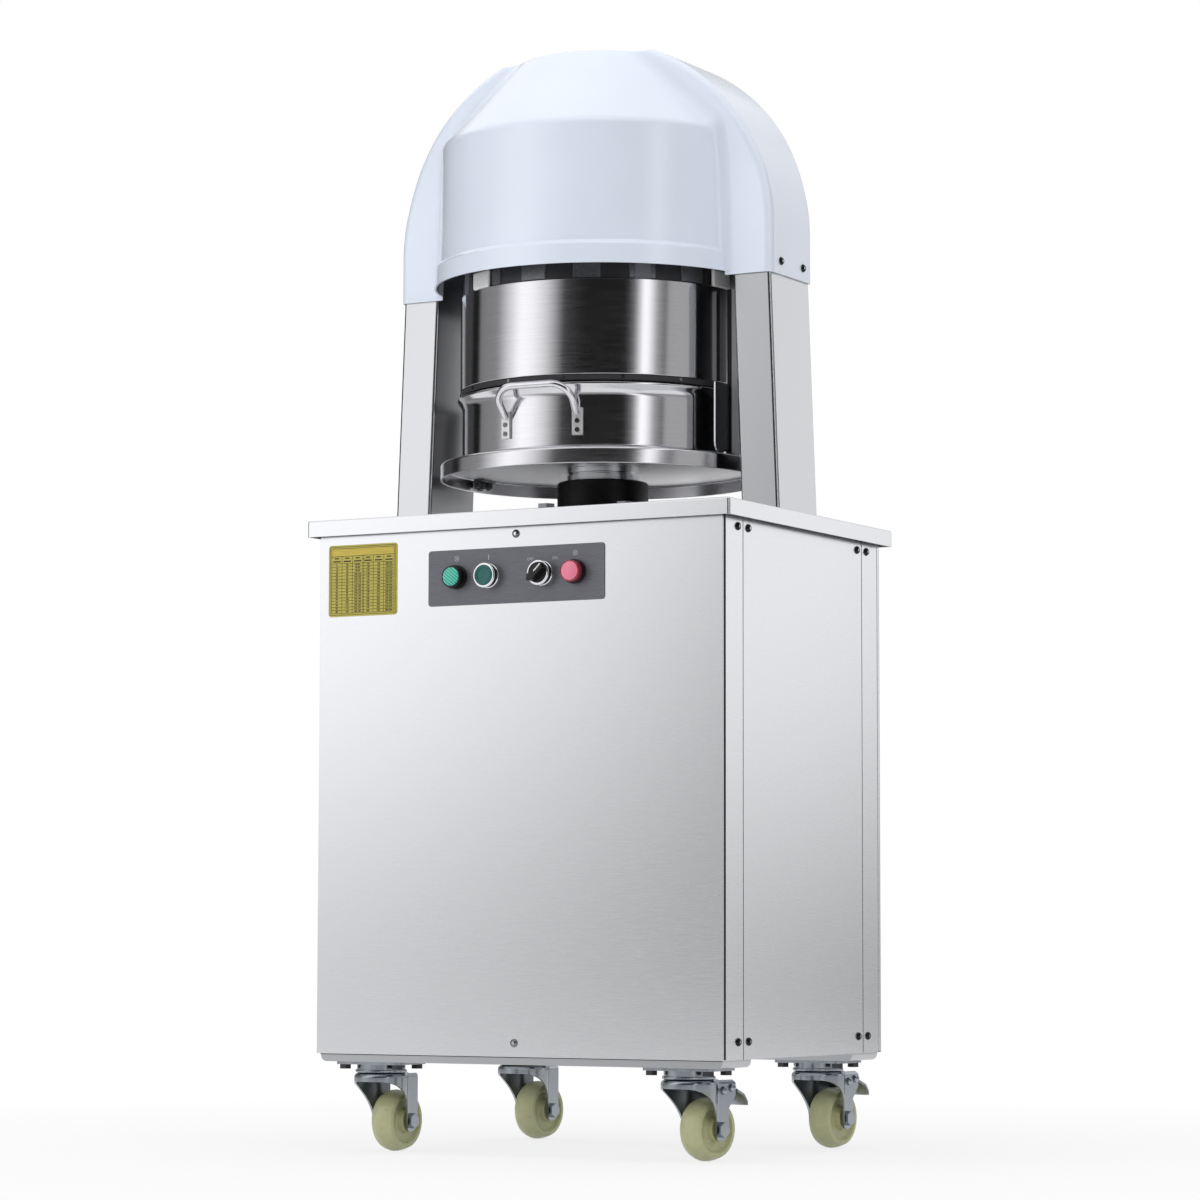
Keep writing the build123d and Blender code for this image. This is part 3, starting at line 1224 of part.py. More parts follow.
def knife_head():
    """The cast disc that holds the knives, notched at its rim and drilled for the pad rods."""
    span = (KNIFE_HEAD_BOTTOM_Z, KNIFE_HEAD_TOP_Z)
    head = disc(KNIFE_HEAD_RADIUS, span)
    rim = KNIFE_HEAD_RADIUS + CUT
    notch = block((KNIFE_HEAD_RADIUS - NOTCH_DEPTH, rim), both_ways(NOTCH_WIDTH / 2), span)
    strap_notch = block((STRAP_NOTCH_RADIUS, rim), both_ways(STRAP_NOTCH_WIDTH / 2), span)
    head -= around(notch, NOTCH_COUNT) + around(strap_notch, STRAP_COUNT, 45)
    rod_hole = [Rot(0, 0, angle) * disc(PAD_ROD_HOLE, span, (r, 0)) for r, angle in pad_rod_places()]
    return head - rod_hole


def knife_grid():
    """The dividing knives: hub, ring and radial blades that make equal cells."""
    span = (KNIFE_EDGE_Z, KNIFE_HEAD_BOTTOM_Z)
    half = KNIFE_THICKNESS / 2
    grid = ring(KNIFE_RING_RADIUS + half, KNIFE_RING_RADIUS - half, span)
    grid += disc(KNIFE_HUB_RADIUS, span)
    inner = block((0, KNIFE_RING_RADIUS), both_ways(half), span)
    outer = block((KNIFE_RING_RADIUS, KNIFE_RADIUS), both_ways(half), span)
    return grid + around(inner, CELLS_INNER) + around(outer, CELLS_OUTER)


def press_pad(cells, inner, outer, rod_circle):
    """One pad that fills a cell between the knives, with its push rod."""
    half_angle = radians(180.0 / cells)
    apex = (KNIFE_THICKNESS / 2 + PAD_GAP) / sin(half_angle)
    far_x = apex + FAR * cos(half_angle)
    far_y = FAR * sin(half_angle)
    wedge = make_face(Polyline((apex, 0), (far_x, -far_y), (far_x, far_y), close=True))
    pad_top = PAD_BOTTOM_Z + PAD_THICKNESS
    cell = Pos(0, 0, PAD_BOTTOM_Z) * extrude(wedge, PAD_THICKNESS)
    pad = ring(outer, inner, (PAD_BOTTOM_Z, pad_top)) & cell
    return pad + disc(PAD_ROD_RADIUS, (pad_top, CARRIER_BOTTOM_Z), (rod_circle, 0))


def press_pads():
    """The pads that push the dough out of the knife cells, one for each cell."""
    clear = KNIFE_THICKNESS / 2 + PAD_GAP
    inner = press_pad(
        CELLS_INNER, KNIFE_HUB_RADIUS + PAD_GAP, KNIFE_RING_RADIUS - clear, PAD_ROD_INNER_CIRCLE
    )
    outer = press_pad(CELLS_OUTER, KNIFE_RING_RADIUS + clear, PAD_RADIUS, PAD_ROD_OUTER_CIRCLE)
    pads = around(inner, CELLS_INNER, 180.0 / CELLS_INNER)
    return group(pads + around(outer, CELLS_OUTER, 180.0 / CELLS_OUTER))


def press_carrier():
    """The disc above the knife head that carries the pad rods and, by four straps, the sleeve."""
    span = (CARRIER_BOTTOM_Z, CARRIER_BOTTOM_Z + CARRIER_THICKNESS)
    carrier = disc(CARRIER_RADIUS, span)
    sleeve_inner = SLEEVE_RADIUS - SLEEVE_WALL
    arm = block((CARRIER_ARM_ROOT, sleeve_inner + CUT), both_ways(STRAP_WIDTH / 2), span)
    strap_z = (STRAP_BOTTOM_Z, span[1])
    strap_x = (STRAP_INNER_RADIUS - CUT, sleeve_inner + CUT)
    strap = block(strap_x, both_ways(STRAP_WIDTH / 2), strap_z)
    strap &= ring(sleeve_inner, STRAP_INNER_RADIUS, strap_z)
    arm &= disc(sleeve_inner, span)
    carrier += around(arm + strap, STRAP_COUNT, 45)
    holes = [disc(PILLAR_HOLE, span, (x, y)) for x in both_ways(PILLAR_X) for y in both_ways(PILLAR_Y)]
    return carrier - holes


def head_sleeve():
    """The bright drum round the knives, with a narrow flange inside its lower edge."""
    span = (SLEEVE_BOTTOM_Z, SLEEVE_TOP_Z)
    tube = ring(SLEEVE_RADIUS, SLEEVE_RADIUS - SLEEVE_WALL, span)
    flange_z = (SLEEVE_BOTTOM_Z, SLEEVE_BOTTOM_Z + SLEEVE_FLANGE)
    return tube + ring(SLEEVE_RADIUS, GASKET_INNER_RADIUS, flange_z)


def sleeve_gasket():
    """The dark ring under the sleeve that closes the pan."""
    band = ring(GASKET_RADIUS, GASKET_INNER_RADIUS, (GASKET_BOTTOM_Z, SLEEVE_BOTTOM_Z))
    span = (GASKET_INNER_RADIUS - CUT, GASKET_RADIUS + CUT)
    hole = pin_x(GASKET_SCREW_SHANK + GASKET_SCREW_PLAY, span, 0, GASKET_SCREW_Z)
    return band - around(hole, GASKET_SCREW_COUNT, GASKET_SCREW_START)


def gasket_screws():
    """The small screws round the gasket ring."""
    face = GASKET_RADIUS
    screw = pin_x(GASKET_SCREW_SHANK, (GASKET_SCREW_INNER, face), 0, GASKET_SCREW_Z)
    screw += pin_x(GASKET_SCREW_HEAD_RADIUS, (face, face + GASKET_SCREW_HEAD), 0, GASKET_SCREW_Z)
    return group(around(screw, GASKET_SCREW_COUNT, GASKET_SCREW_START))


def caster_plates():
    """Top plates of the casters with the fixed race and the kingpin."""
    plates = []
    half_x = CASTER_PLATE_SIZE[0] / 2
    half_y = CASTER_PLATE_SIZE[1] / 2
    sheet_z = (CASTER_PLATE_BOTTOM_Z, RAIL_BOTTOM_Z)
    for x, y in caster_centres():
        plate = block((x - half_x, x + half_x), (y - half_y, y + half_y), sheet_z)
        plate = fillet(plate.edges().filter_by(Axis.Z), CASTER_PLATE_CORNER)
        upper = (CASTER_RACE_SPLIT_Z, CASTER_PLATE_BOTTOM_Z)
        plate += disc(CASTER_RACE_UPPER_RADIUS, upper, (x, y))
        lower = disc(CASTER_RACE_RADIUS, (CASTER_RACE_BOTTOM_Z, CASTER_RACE_SPLIT_Z), (x, y))
        plate += fillet(lower.edges(), CASTER_RACE_ROUND)
        plate += disc(KINGPIN_RADIUS, (KINGPIN_HEAD_BOTTOM_Z, CASTER_RACE_BOTTOM_Z), (x, y))
        head_top = FORK_TOP_Z - FORK_TOP_SHEET - KINGPIN_PLAY
        plate += disc(KINGPIN_HEAD_RADIUS, (KINGPIN_HEAD_BOTTOM_Z, head_top), (x, y))
        plates.append(plate)
    holes = [disc(CASTER_BOLT_HOLE, sheet_z, place) for place in caster_bolt_places()]
    return group([plate - holes for plate in plates])


def caster_bolts():
    """The bolts that hold the caster plates under the rails."""
    bolts = []
    head_z = (CASTER_PLATE_BOTTOM_Z - CASTER_BOLT_HEAD, CASTER_PLATE_BOTTOM_Z)
    for place in caster_bolt_places():
        shank = disc(CASTER_BOLT_RADIUS, (CASTER_PLATE_BOTTOM_Z, CASTER_BOLT_END_Z), place)
        bolts.append(hexagon(CASTER_BOLT_FLATS, head_z, place) + shank)
    return group(bolts)


def caster_place(corner):
    """Where a caster sits: its swivel axis and its turn at rest."""
    x, y = caster_centres()[corner]
    return Pos(x, y, 0) * Rot(0, 0, CASTER_REST_TURNS[corner])


def fork_side(braked):
    """Side view of the fork: nose, curved front edge, rounded leg end and back edge."""
    leg_front = WHEEL_TRAIL - FORK_LEG_RADIUS
    leg_back = WHEEL_TRAIL + FORK_LEG_RADIUS
    nose = -FORK_NOSE_RADIUS
    sweep_in = ThreePointArc((nose, FORK_NOSE_BOTTOM_Z), FORK_SWEEP_POINT, (leg_front, WHEEL_RADIUS))
    leg_low = WHEEL_RADIUS - FORK_LEG_RADIUS
    leg_end = ThreePointArc((leg_front, WHEEL_RADIUS), (WHEEL_TRAIL, leg_low), (leg_back, WHEEL_RADIUS))
    back = [(leg_back, WHEEL_RADIUS), (FORK_BACK, FORK_TOP_Z)]
    if braked:
        back = [
            (leg_back, WHEEL_RADIUS),
            (leg_back, FORK_EAR_ROOT_Z),
            (FORK_EAR_BACK, FORK_EAR_BOTTOM_Z),
            (FORK_EAR_BACK, FORK_TOP_Z - FORK_EAR_CORNER),
            (FORK_EAR_BACK - FORK_EAR_CORNER, FORK_TOP_Z),
        ]
    top = Polyline(*back, (nose, FORK_TOP_Z), (nose, FORK_NOSE_BOTTOM_Z))
    return make_face([sweep_in, leg_end, *top.edges()])


def fork_plan(inset, reach):
    """Plan of the fork: a round nose that flows into two straight legs."""
    half = FORK_HALF_WIDTH - inset
    plan = Circle(FORK_NOSE_RADIUS - inset) + Pos(0, reach / 2) * Rectangle(2 * half, reach)
    waist = [v for v in plan.vertices() if 0 < v.Y < FORK_NOSE_RADIUS]
    return fillet(waist, FORK_WAIST_ROUND + inset)


def caster_fork(corner, braked):
    """The pressed fork: round crown, two legs and, on braked casters, ears with their rivets."""
    reach = FORK_EAR_BACK + CUT
    low = WHEEL_RADIUS - FORK_LEG_RADIUS - CUT
    inner_half = FORK_HALF_WIDTH - FORK_SHEET
    inner = fork_plan(FORK_SHEET, reach + CUT)
    body = Pos(0, 0, low) * extrude(fork_plan(0, reach), FORK_TOP_Z - low)
    body = fillet(body.edges().group_by(Axis.Z)[-1], FORK_CROWN_ROUND)
    body &= extrude(Plane.YZ * fork_side(braked), FORK_NOSE_RADIUS + CUT, both=True)
    body -= Pos(0, 0, low) * extrude(inner, FORK_TOP_Z - FORK_TOP_SHEET - low)
    body -= block(both_ways(inner_half), (FORK_SLOT_FRONT, reach), (low, FORK_TOP_Z + CUT))
    body -= disc(KINGPIN_HOLE, (low, FORK_TOP_Z))
    body -= pin_x(AXLE_HOLE, both_ways(FAR), WHEEL_TRAIL, WHEEL_RADIUS)
    for side in (-1, 1):
        seat = sorted((side * FORK_HALF_WIDTH, side * FAR))
        body -= pin_x(AXLE_SEAT_RADIUS, seat, WHEEL_TRAIL, WHEEL_RADIUS)
    if braked:
        outside = FORK_HALF_WIDTH + EAR_RIVET_HEAD
        body += pin_x(PEDAL_PIN_RADIUS, both_ways(outside), PEDAL_PIVOT_Y, PEDAL_PIVOT_Z)
        for side in (-1, 1):
            span = sorted((side * FORK_HALF_WIDTH, side * outside))
            for y, z in ((PEDAL_PIVOT_Y, PEDAL_PIVOT_Z), (EAR_RIVET_Y, EAR_RIVET_Z)):
                body += pin_x(EAR_RIVET_HEAD_RADIUS, span, y, z)
    return caster_place(corner) * body


def caster_wheel(corner):
    """The moulded wheel: rounded tread, dished sides and a longer hub."""
    half = WHEEL_HALF_WIDTH
    shoulder = (WHEEL_SHOULDER_RADIUS, half)
    edge = [shoulder, WHEEL_BULGE, (WHEEL_RADIUS, WHEEL_TREAD_HALF_WIDTH)]
    upper = ThreePointArc(*edge)
    lower = ThreePointArc(*[(r, -z) for r, z in reversed(edge)])
    tread = Line((WHEEL_RADIUS, WHEEL_TREAD_HALF_WIDTH), (WHEEL_RADIUS, -WHEEL_TREAD_HALF_WIDTH))
    side = [
        shoulder,
        (WHEEL_RIM_RADIUS, half),
        (WHEEL_RIM_RADIUS - WHEEL_DISH, WHEEL_WEB_HALF_WIDTH),
        (WHEEL_HUB_RADIUS + WHEEL_DISH, WHEEL_WEB_HALF_WIDTH),
        (WHEEL_HUB_RADIUS, WHEEL_HUB_HALF_WIDTH),
        (AXLE_RADIUS + RUNNING_FIT, WHEEL_HUB_HALF_WIDTH),
    ]
    inside = Polyline(*side, *[(r, -z) for r, z in reversed(side)])
    wheel = turned(make_face([upper, tread, lower, *inside.edges()]))
    lying = Pos(0, WHEEL_TRAIL, WHEEL_RADIUS) * Rot(0, 90, 0) * wheel
    return caster_place(corner) * lying


def caster_axle(corner):
    """The axle bolt with its head and nut outside the fork legs."""
    outside = FORK_HALF_WIDTH
    bolt = disc(AXLE_RADIUS, (-outside - AXLE_HEAD - AXLE_TIP, outside))
    bolt += hexagon(AXLE_NUT_FLATS, (outside, outside + AXLE_HEAD))
    bolt += hexagon(AXLE_NUT_FLATS, (-outside - AXLE_HEAD, -outside))
    return caster_place(corner) * Pos(0, WHEEL_TRAIL, WHEEL_RADIUS) * Rot(0, 90, 0) * bolt


def brake_pedal(corner):
    """The brake pedal: a barrel on the ear's pin, a brake shoe under it and the foot plate."""
    y, z = PEDAL_PIVOT_Y, PEDAL_PIVOT_Z
    barrel = pin_x(PEDAL_BARREL_RADIUS, both_ways(PEDAL_BARREL_HALF_WIDTH), y, z)
    plate_side = [
        (y, z + PEDAL_BARREL_RADIUS - PEDAL_SHEET / 2),
        (PEDAL_BEND_Y, z + PEDAL_BARREL_RADIUS - PEDAL_SHEET / 2),
        (PEDAL_TIP_Y, PEDAL_TIP_Z + PEDAL_SHEET),
        (PEDAL_TIP_Y, PEDAL_TIP_Z),
        (PEDAL_BEND_Y, z),
        (y, z),
    ]
    shoe_front, shoe_back = PEDAL_SHOE_Y
    shoe_side = [
        (shoe_front, z),
        (shoe_back, z),
        (shoe_back, z - PEDAL_SHOE_DROP),
        (y, z - PEDAL_SHOE_DROP),
    ]
    plate = extrude(Plane.YZ * make_face(Polyline(*plate_side, close=True)), FAR, both=True)
    shoe = extrude(Plane.YZ * make_face(Polyline(*shoe_side, close=True)), PEDAL_HALF_WIDTH, both=True)
    flare_start, flare_end = PEDAL_FLARE_Y
    half_plan = [
        (PEDAL_HALF_WIDTH, 0),
        (PEDAL_HALF_WIDTH, flare_start),
        (PEDAL_FOOT_HALF_WIDTH, flare_end),
        (PEDAL_FOOT_HALF_WIDTH, PEDAL_TIP_Y),
    ]
    plan = make_face(Polyline(*half_plan, *[(-x, y) for x, y in reversed(half_plan)], close=True))
    plan = fillet([v for v in plan.vertices() if v.Y > flare_start], PEDAL_FOOT_CORNER)
    pedal = barrel + (plate & extrude(plan, FAR)) + shoe
    return caster_place(corner) * (pedal - pin_x(PEDAL_BORE, both_ways(FAR), y, z))


def sub_parts():
    """Every sub-part under its name."""
    parts = {
        "cabinet_frame": cabinet_frame(),
        "bed_plate": bed_plate(),
        "front_panel": front_panel(),
        "rear_panel": rear_panel(),
        "left_side_panel": side_panel(-1),
        "right_side_panel": side_panel(1),
        "top_plate": top_plate(),
        "cover_screws": cover_screws(),
        "left_column": column(-1),
        "right_column": column(1),
        "bed_bolts": bed_bolts(),
        "hood": hood(),
        "control_plate": control_plate(),
        "chart_plate": chart_plate(),
        "switch_bodies": switch_bodies(),
        "green_lamp_lens": lamp_lens(GREEN_LAMP_X),
        "red_lamp_lens": lamp_lens(RED_LAMP_X),
        "button_bezels": button_bezels(),
        "start_button": start_button(),
        "selector_knob": selector_knob(),
        "electric_box": electric_box(),
        "cable_gland": cable_gland(),
        "cylinder_barrel": cylinder_barrel(),
        "cylinder_gland": cylinder_gland(),
        "ram": ram(),
        "oil_tank": oil_tank(),
        "pump_motor": pump_motor(),
        "gear_pump": gear_pump(),
        "valve_block": valve_block(),
        "pressure_hose": pressure_hose(),
        "tray": tray(),
        "tray_bolts": tray_bolts(),
        "pan_guides": pan_guides(),
        "dough_pan": dough_pan(),
        "pan_handles": pan_handles(),
        "handle_rivets": handle_rivets(),
        "head_beam": head_beam(),
        "knife_head": knife_head(),
        "knife_grid": knife_grid(),
        "press_carrier": press_carrier(),
        "press_pads": press_pads(),
        "head_sleeve": head_sleeve(),
        "sleeve_gasket": sleeve_gasket(),
        "gasket_screws": gasket_screws(),
        "caster_plates": caster_plates(),
        "caster_bolts": caster_bolts(),
    }
    for corner, name in enumerate(("front_left", "front_right", "rear_left", "rear_right")):
        braked = name.endswith("right")
        parts[name + "_fork"] = caster_fork(corner, braked)
        parts[name + "_wheel"] = caster_wheel(corner)
        parts[name + "_axle"] = caster_axle(corner)
        if braked:
            parts[name + "_brake_pedal"] = brake_pedal(corner)
    return parts


os.makedirs("parts", exist_ok=True)
for part_name, part in sub_parts().items():
    export_step(part, f"parts/{part_name}.step")
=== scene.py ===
"""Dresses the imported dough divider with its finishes, turned and pressed pieces and a studio."""

import json
from math import atan2, cos, pi, radians, sin, tau

import bmesh
import bpy
from mathutils import Matrix, Quaternion, Vector

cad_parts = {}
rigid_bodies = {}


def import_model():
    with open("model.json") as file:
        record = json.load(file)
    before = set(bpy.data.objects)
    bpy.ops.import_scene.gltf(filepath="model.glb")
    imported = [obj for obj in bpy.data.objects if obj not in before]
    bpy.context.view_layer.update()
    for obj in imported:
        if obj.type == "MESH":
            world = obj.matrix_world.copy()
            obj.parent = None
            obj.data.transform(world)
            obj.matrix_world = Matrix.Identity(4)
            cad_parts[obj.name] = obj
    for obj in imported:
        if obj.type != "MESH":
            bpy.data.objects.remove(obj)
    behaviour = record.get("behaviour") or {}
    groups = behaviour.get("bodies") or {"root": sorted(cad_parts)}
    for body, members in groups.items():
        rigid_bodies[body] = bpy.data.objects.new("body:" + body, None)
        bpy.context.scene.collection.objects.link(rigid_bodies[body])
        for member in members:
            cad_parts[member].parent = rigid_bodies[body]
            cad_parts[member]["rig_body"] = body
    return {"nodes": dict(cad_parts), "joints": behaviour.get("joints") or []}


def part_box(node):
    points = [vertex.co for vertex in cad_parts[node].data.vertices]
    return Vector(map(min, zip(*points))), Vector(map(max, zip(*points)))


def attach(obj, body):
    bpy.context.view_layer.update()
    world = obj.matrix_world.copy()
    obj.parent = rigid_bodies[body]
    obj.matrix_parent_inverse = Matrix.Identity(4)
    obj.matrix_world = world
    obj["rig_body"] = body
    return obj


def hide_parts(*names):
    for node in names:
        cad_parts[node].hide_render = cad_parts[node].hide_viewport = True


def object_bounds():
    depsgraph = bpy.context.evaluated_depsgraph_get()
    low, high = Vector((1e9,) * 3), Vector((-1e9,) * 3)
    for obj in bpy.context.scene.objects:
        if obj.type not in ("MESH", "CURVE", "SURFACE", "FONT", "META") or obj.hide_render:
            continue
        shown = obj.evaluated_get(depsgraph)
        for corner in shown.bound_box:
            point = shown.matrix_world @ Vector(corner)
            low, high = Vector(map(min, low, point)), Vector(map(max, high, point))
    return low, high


bl_info = {
    "name": "Dough divider dressing",
    "version": (1, 0, 0),
    "blender": (4, 5, 0),
    "location": "View3D > Sidebar > Divider",
    "description": "Finishes, turned pieces, printed plates and a studio for the dough divider",
    "category": "Object",
}

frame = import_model()
CAD_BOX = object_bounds()
NODES = frame["nodes"]
JOINTS = {row["name"]: row for row in frame["joints"]}
CASTERS = ("front_left", "front_right", "rear_left", "rear_right")
BRAKED_CASTERS = ("front_right", "rear_right")
MM = 0.001
# gap between neighbouring sheets of the cabinet, in millimetres
SEAM = 1.6
# edges sharper than this stay sharp to the eye
CREASE = radians(35)
# how a pattern is drawn out: evenly, or into lines along the object's axes
EVEN = (1.0, 1.0, 1.0)
LEVEL_LINES = (0.02, 0.02, 1.0)
UPRIGHT_LINES = (1.0, 1.0, 0.02)
PLATE_LINES = (0.05, 1.0, 1.0)


def linear(code):
    """An sRGB hex colour as linear red, green and blue."""
    shares = [int(code[place:place + 2], 16) / 255 for place in (1, 3, 5)]
    return tuple(s / 12.92 if s <= 0.04045 else ((s + 0.055) / 1.055) ** 2.4 for s in shares)


def setting(name, value, description, kind=bpy.props.FloatProperty, **more):
    """A value that a user may change."""
    return kind(name=name, default=value, description=description, **more)


def colour(name, code, description):
    """A colour setting that starts from an sRGB hex value."""
    return setting(
        name, linear(code), description, bpy.props.FloatVectorProperty, subtype="COLOR", size=3, min=0, max=1
    )


def length(name, millimetres, description):
    """A length setting given in millimetres and kept in metres."""
    return setting(name, millimetres * MM, description, unit="LENGTH", precision=5)


def count(name, value, description, least):
    """A whole-number setting."""
    return setting(name, value, description, bpy.props.IntProperty, min=least)


class StudioSettings(bpy.types.PropertyGroup):
    """The camera, lamps and floor."""

    camera_place: setting(
        "Camera place", (2.379235, -4.256184, 0.263344), "Where the lens stands",
        bpy.props.FloatVectorProperty, subtype="TRANSLATION", unit="LENGTH",
    )
    camera_turn: setting(
        "Camera turn", radians(29.245), "How far to the right of the front the camera stands", subtype="ANGLE"
    )
    camera_rise: setting("Camera rise", radians(4.902), "How far the camera looks up", subtype="ANGLE")
    camera_roll: setting("Camera roll", radians(0.123), "Lean of the camera about its axis", subtype="ANGLE")
    lens: setting("Lens", 117.603, "Focal length on a 36 mm wide sensor", unit="CAMERA")
    left_lamp: setting("Left lamp", 1.18, "Brightness of the large soft lamp at the front left")
    right_lamp: setting("Right lamp", 1.5, "Brightness of the narrow soft lamp at the right")
    front_lamp: setting("Front lamp", 0.95, "Brightness of the small soft lamp under the camera")
    top_lamp: setting("Top lamp", 1.7, "Brightness of the soft lamp overhead")
    room_light: setting("Room light", 0.5, "Even light from the white room on dull surfaces")
    floor_colour: colour("Floor", "#F3F3F3", "Colour of the pale floor")


class SteelSettings(bpy.types.PropertyGroup):
    """Metal finishes."""

    sheet: colour("Cabinet sheet", "#E3E4E7", "Satin stainless of the cabinet")
    tube: colour("Columns", "#CBCCCF", "Satin stainless of the columns")
    bright: colour("Bright stainless", "#D6D6DA", "Turned stainless of the head, pan and tray")
    # painted shade: darker tone of the base rails
    rail_shade: colour("Rail shade", "#BDBEC1", "Stainless of the base rails, darker as painted shade")
    primer: colour("Upright plate", "#A9AAAD", "Primed plate behind the right pan guide")
    # painted shade: darker tone of the pan guides' side faces
    rolled: colour("Guide face shade", "#66676A", "Side faces of the pan guides, darker as painted shade")
    rod: colour("Handle rod", "#DCDCE0", "Polished stainless of the handles")
    chrome: colour("Chrome", "#E2E3E6", "Plated rings and the ram")
    fastener: colour("Fasteners", "#7E7F84", "Plated screws and bolts")
    dark_bolt: colour("Caster bolts", "#4C4D50", "Blackened bolts of the casters")
    zinc: colour("Zinc", "#9FA4AA", "Bluish zinc plate of the casters")
    # near white: under the tray this is painted light
    underside: colour("Tray underside", "#F7F7F8", "Satin stainless under the tray, lightened as painted light")
    clamp: colour("Clamps", "#6A6B6E", "Dark clamp plates under the tray")
    cast: colour("Cast alloy", "#4A4A4D", "Dark cast ring of the dividing head")
    pad: colour("Cast pads", "#77787B", "Machined pads round the dividing head")
    # near white, partly painted light
    lug: colour("Cast lugs", "#F0F0F0", "Sand-cast lugs of the dividing head, lightened as painted light")
    black_oxide: colour("Black oxide", "#151516", "Collar round the ram")
    blade: colour("Blades", "#C4C5C9", "Ground knife steel")
    alloy: colour("Machined alloy", "#B5B6B8", "Pump and valve block")
    edge_round: length("Sheet edge", 0.5, "Rounding of cut sheet edges")
    # real brushing lines are about a tenth of a millimetre wide, so these are drawn coarser
    sheet_grain: length("Sheet grain", 0.6, "Width of the brushing lines on the sheets")


class MouldedSettings(bpy.types.PropertyGroup):
    """Plastic, rubber and paint finishes."""

    hood: colour("Hood", "#E5EDFB", "Cool white of the moulded hood")
    hood_gloss: setting(
        "Hood roughness", 0.22, "Roughness of the hood's skin", subtype="FACTOR", min=0, max=1
    )
    nylon: colour("Wheels", "#BFC196", "Cream nylon of the wheels")
    # dark strips that stand in for shade: in the cabinet's joints, along the columns' folds and beside the
    # sleeve
    painted_shade: colour("Joint strips", "#17171A", "Dark strips in the cabinet's joints")
    gasket: colour("Gasket", "#2B2B2E", "Dark rubber under the head sleeve")
    hose: colour("Hose", "#121213", "Rubber of the pressure hose")
    black_plastic: colour("Black plastic", "#0C0C0D", "Device bodies, knob and gland")
    pad: colour("Press pads", "#E6E5E0", "White food plastic")
    box: colour("Switch box", "#A9ABAD", "Grey enclosure")
    enamel: colour("Machine enamel", "#6B6E73", "Painted bed, beam and cylinder")
    tank: colour("Tank paint", "#4E5963", "Painted steel inside the cabinet")
    motor: colour("Motor paint", "#3F5A74", "Painted motor casing")


class ControlSettings(bpy.types.PropertyGroup):
    """The control plate, its devices and the chart plate."""

    plate: colour("Control plate", "#6C6D73", "Grey printed plate")
    ink: colour("White ink", "#B4B4B9", "Marks on the control plate")
    pointer: colour("Pointer line", "#F2F2F2", "White line on the selector")
    green_lens: colour("Green lens", "#2FB5A0", "Signal lamp at the left")
    red_lens: colour("Red lens", "#E87C97", "Signal lamp at the right")
    # painted shade: the darker side of the red lens
    red_side_painted_shade: colour("Red lens side", "#8E2238", "Side of the signal lamp at the right, darker as painted shade")
    green_cap: colour("Green cap", "#0E5B57", "Start button")
    chart: colour("Chart plate", "#B5AA55", "Gold anodised plate")
    band: colour("Chart band", "#C2AF52", "Brighter band at the head of the chart plate")
    chart_ink: colour("Chart ink", "#332F14", "Lines and numbers on the chart plate")
    chart_rows: count("Chart rows", 16, "Ruled rows", 1)
    chart_columns: count("Chart columns", 6, "Ruled columns", 1)


class TurnedSettings(bpy.types.PropertyGroup):
    """How finely round pieces are made."""

    large_steps: count("Large turns", 240, "Facets round the head, pan and tray", 24)
    small_steps: count("Small turns", 96, "Facets round wheels, lamps and collars", 12)
    tiny_steps: count("Tiny turns", 24, "Facets round screws and rivets", 8)


def settings(group):
    """One of the setting groups of the scene."""
    return getattr(bpy.context.scene, "divider_" + group)


def add_node(tree, kind, inputs=None, stops=None, **options):
    """Adds a node, applies its options and fills its inputs with values or links."""
    node = tree.nodes.new(kind)
    for name, value in options.items():
        setattr(node, name, value)
    for name, value in (inputs or {}).items():
        if isinstance(value, bpy.types.NodeSocket):
            tree.links.new(value, node.inputs[name])
        else:
            node.inputs[name].default_value = value
    for place, (position, tone) in enumerate(stops or []):
        elements = node.color_ramp.elements
        stop = elements[place] if place < len(elements) else elements.new(position)
        stop.position = position
        stop.color = (*tone, 1.0)
    return node


def new_finish(name, base, **sockets):
    """A material with one surface shader; returns it, its tree and the shader."""
    material = bpy.data.materials.new(name)
    material.use_nodes = True
    tree = material.node_tree
    shader = tree.nodes["Principled BSDF"]
    shader.inputs["Base Color"].default_value = (*base, 1.0)
    for socket, value in sockets.items():
        shader.inputs[socket.replace("_", " ")].default_value = value
    return material, tree, shader


def toned(base, factor):
    """A lighter or darker version of a linear colour."""
    return tuple(min(1.0, channel * factor) for channel in base)


def tones(base, spread, span):
    """Ramp stops from a darker to a lighter version of a colour."""
    return [(span[0], toned(base, 1 - spread)), (span[1], toned(base, 1 + spread))]


def noise(tree, size_mm, stretch=EVEN, detail=3.0, rough=0.55):
    """Cloudy noise of a real feature size, drawn out along chosen axes; returns its value."""
    where = add_node(tree, "ShaderNodeTexCoord")
    scaled = add_node(
        tree, "ShaderNodeMapping", {"Vector": where.outputs["Object"], "Scale": stretch}
    )
    size = 1 / (size_mm * MM)
    return add_node(
        tree, "ShaderNodeTexNoise",
        {"Vector": scaled.outputs["Vector"], "Scale": size, "Detail": detail, "Roughness": rough},
    ).outputs["Fac"]


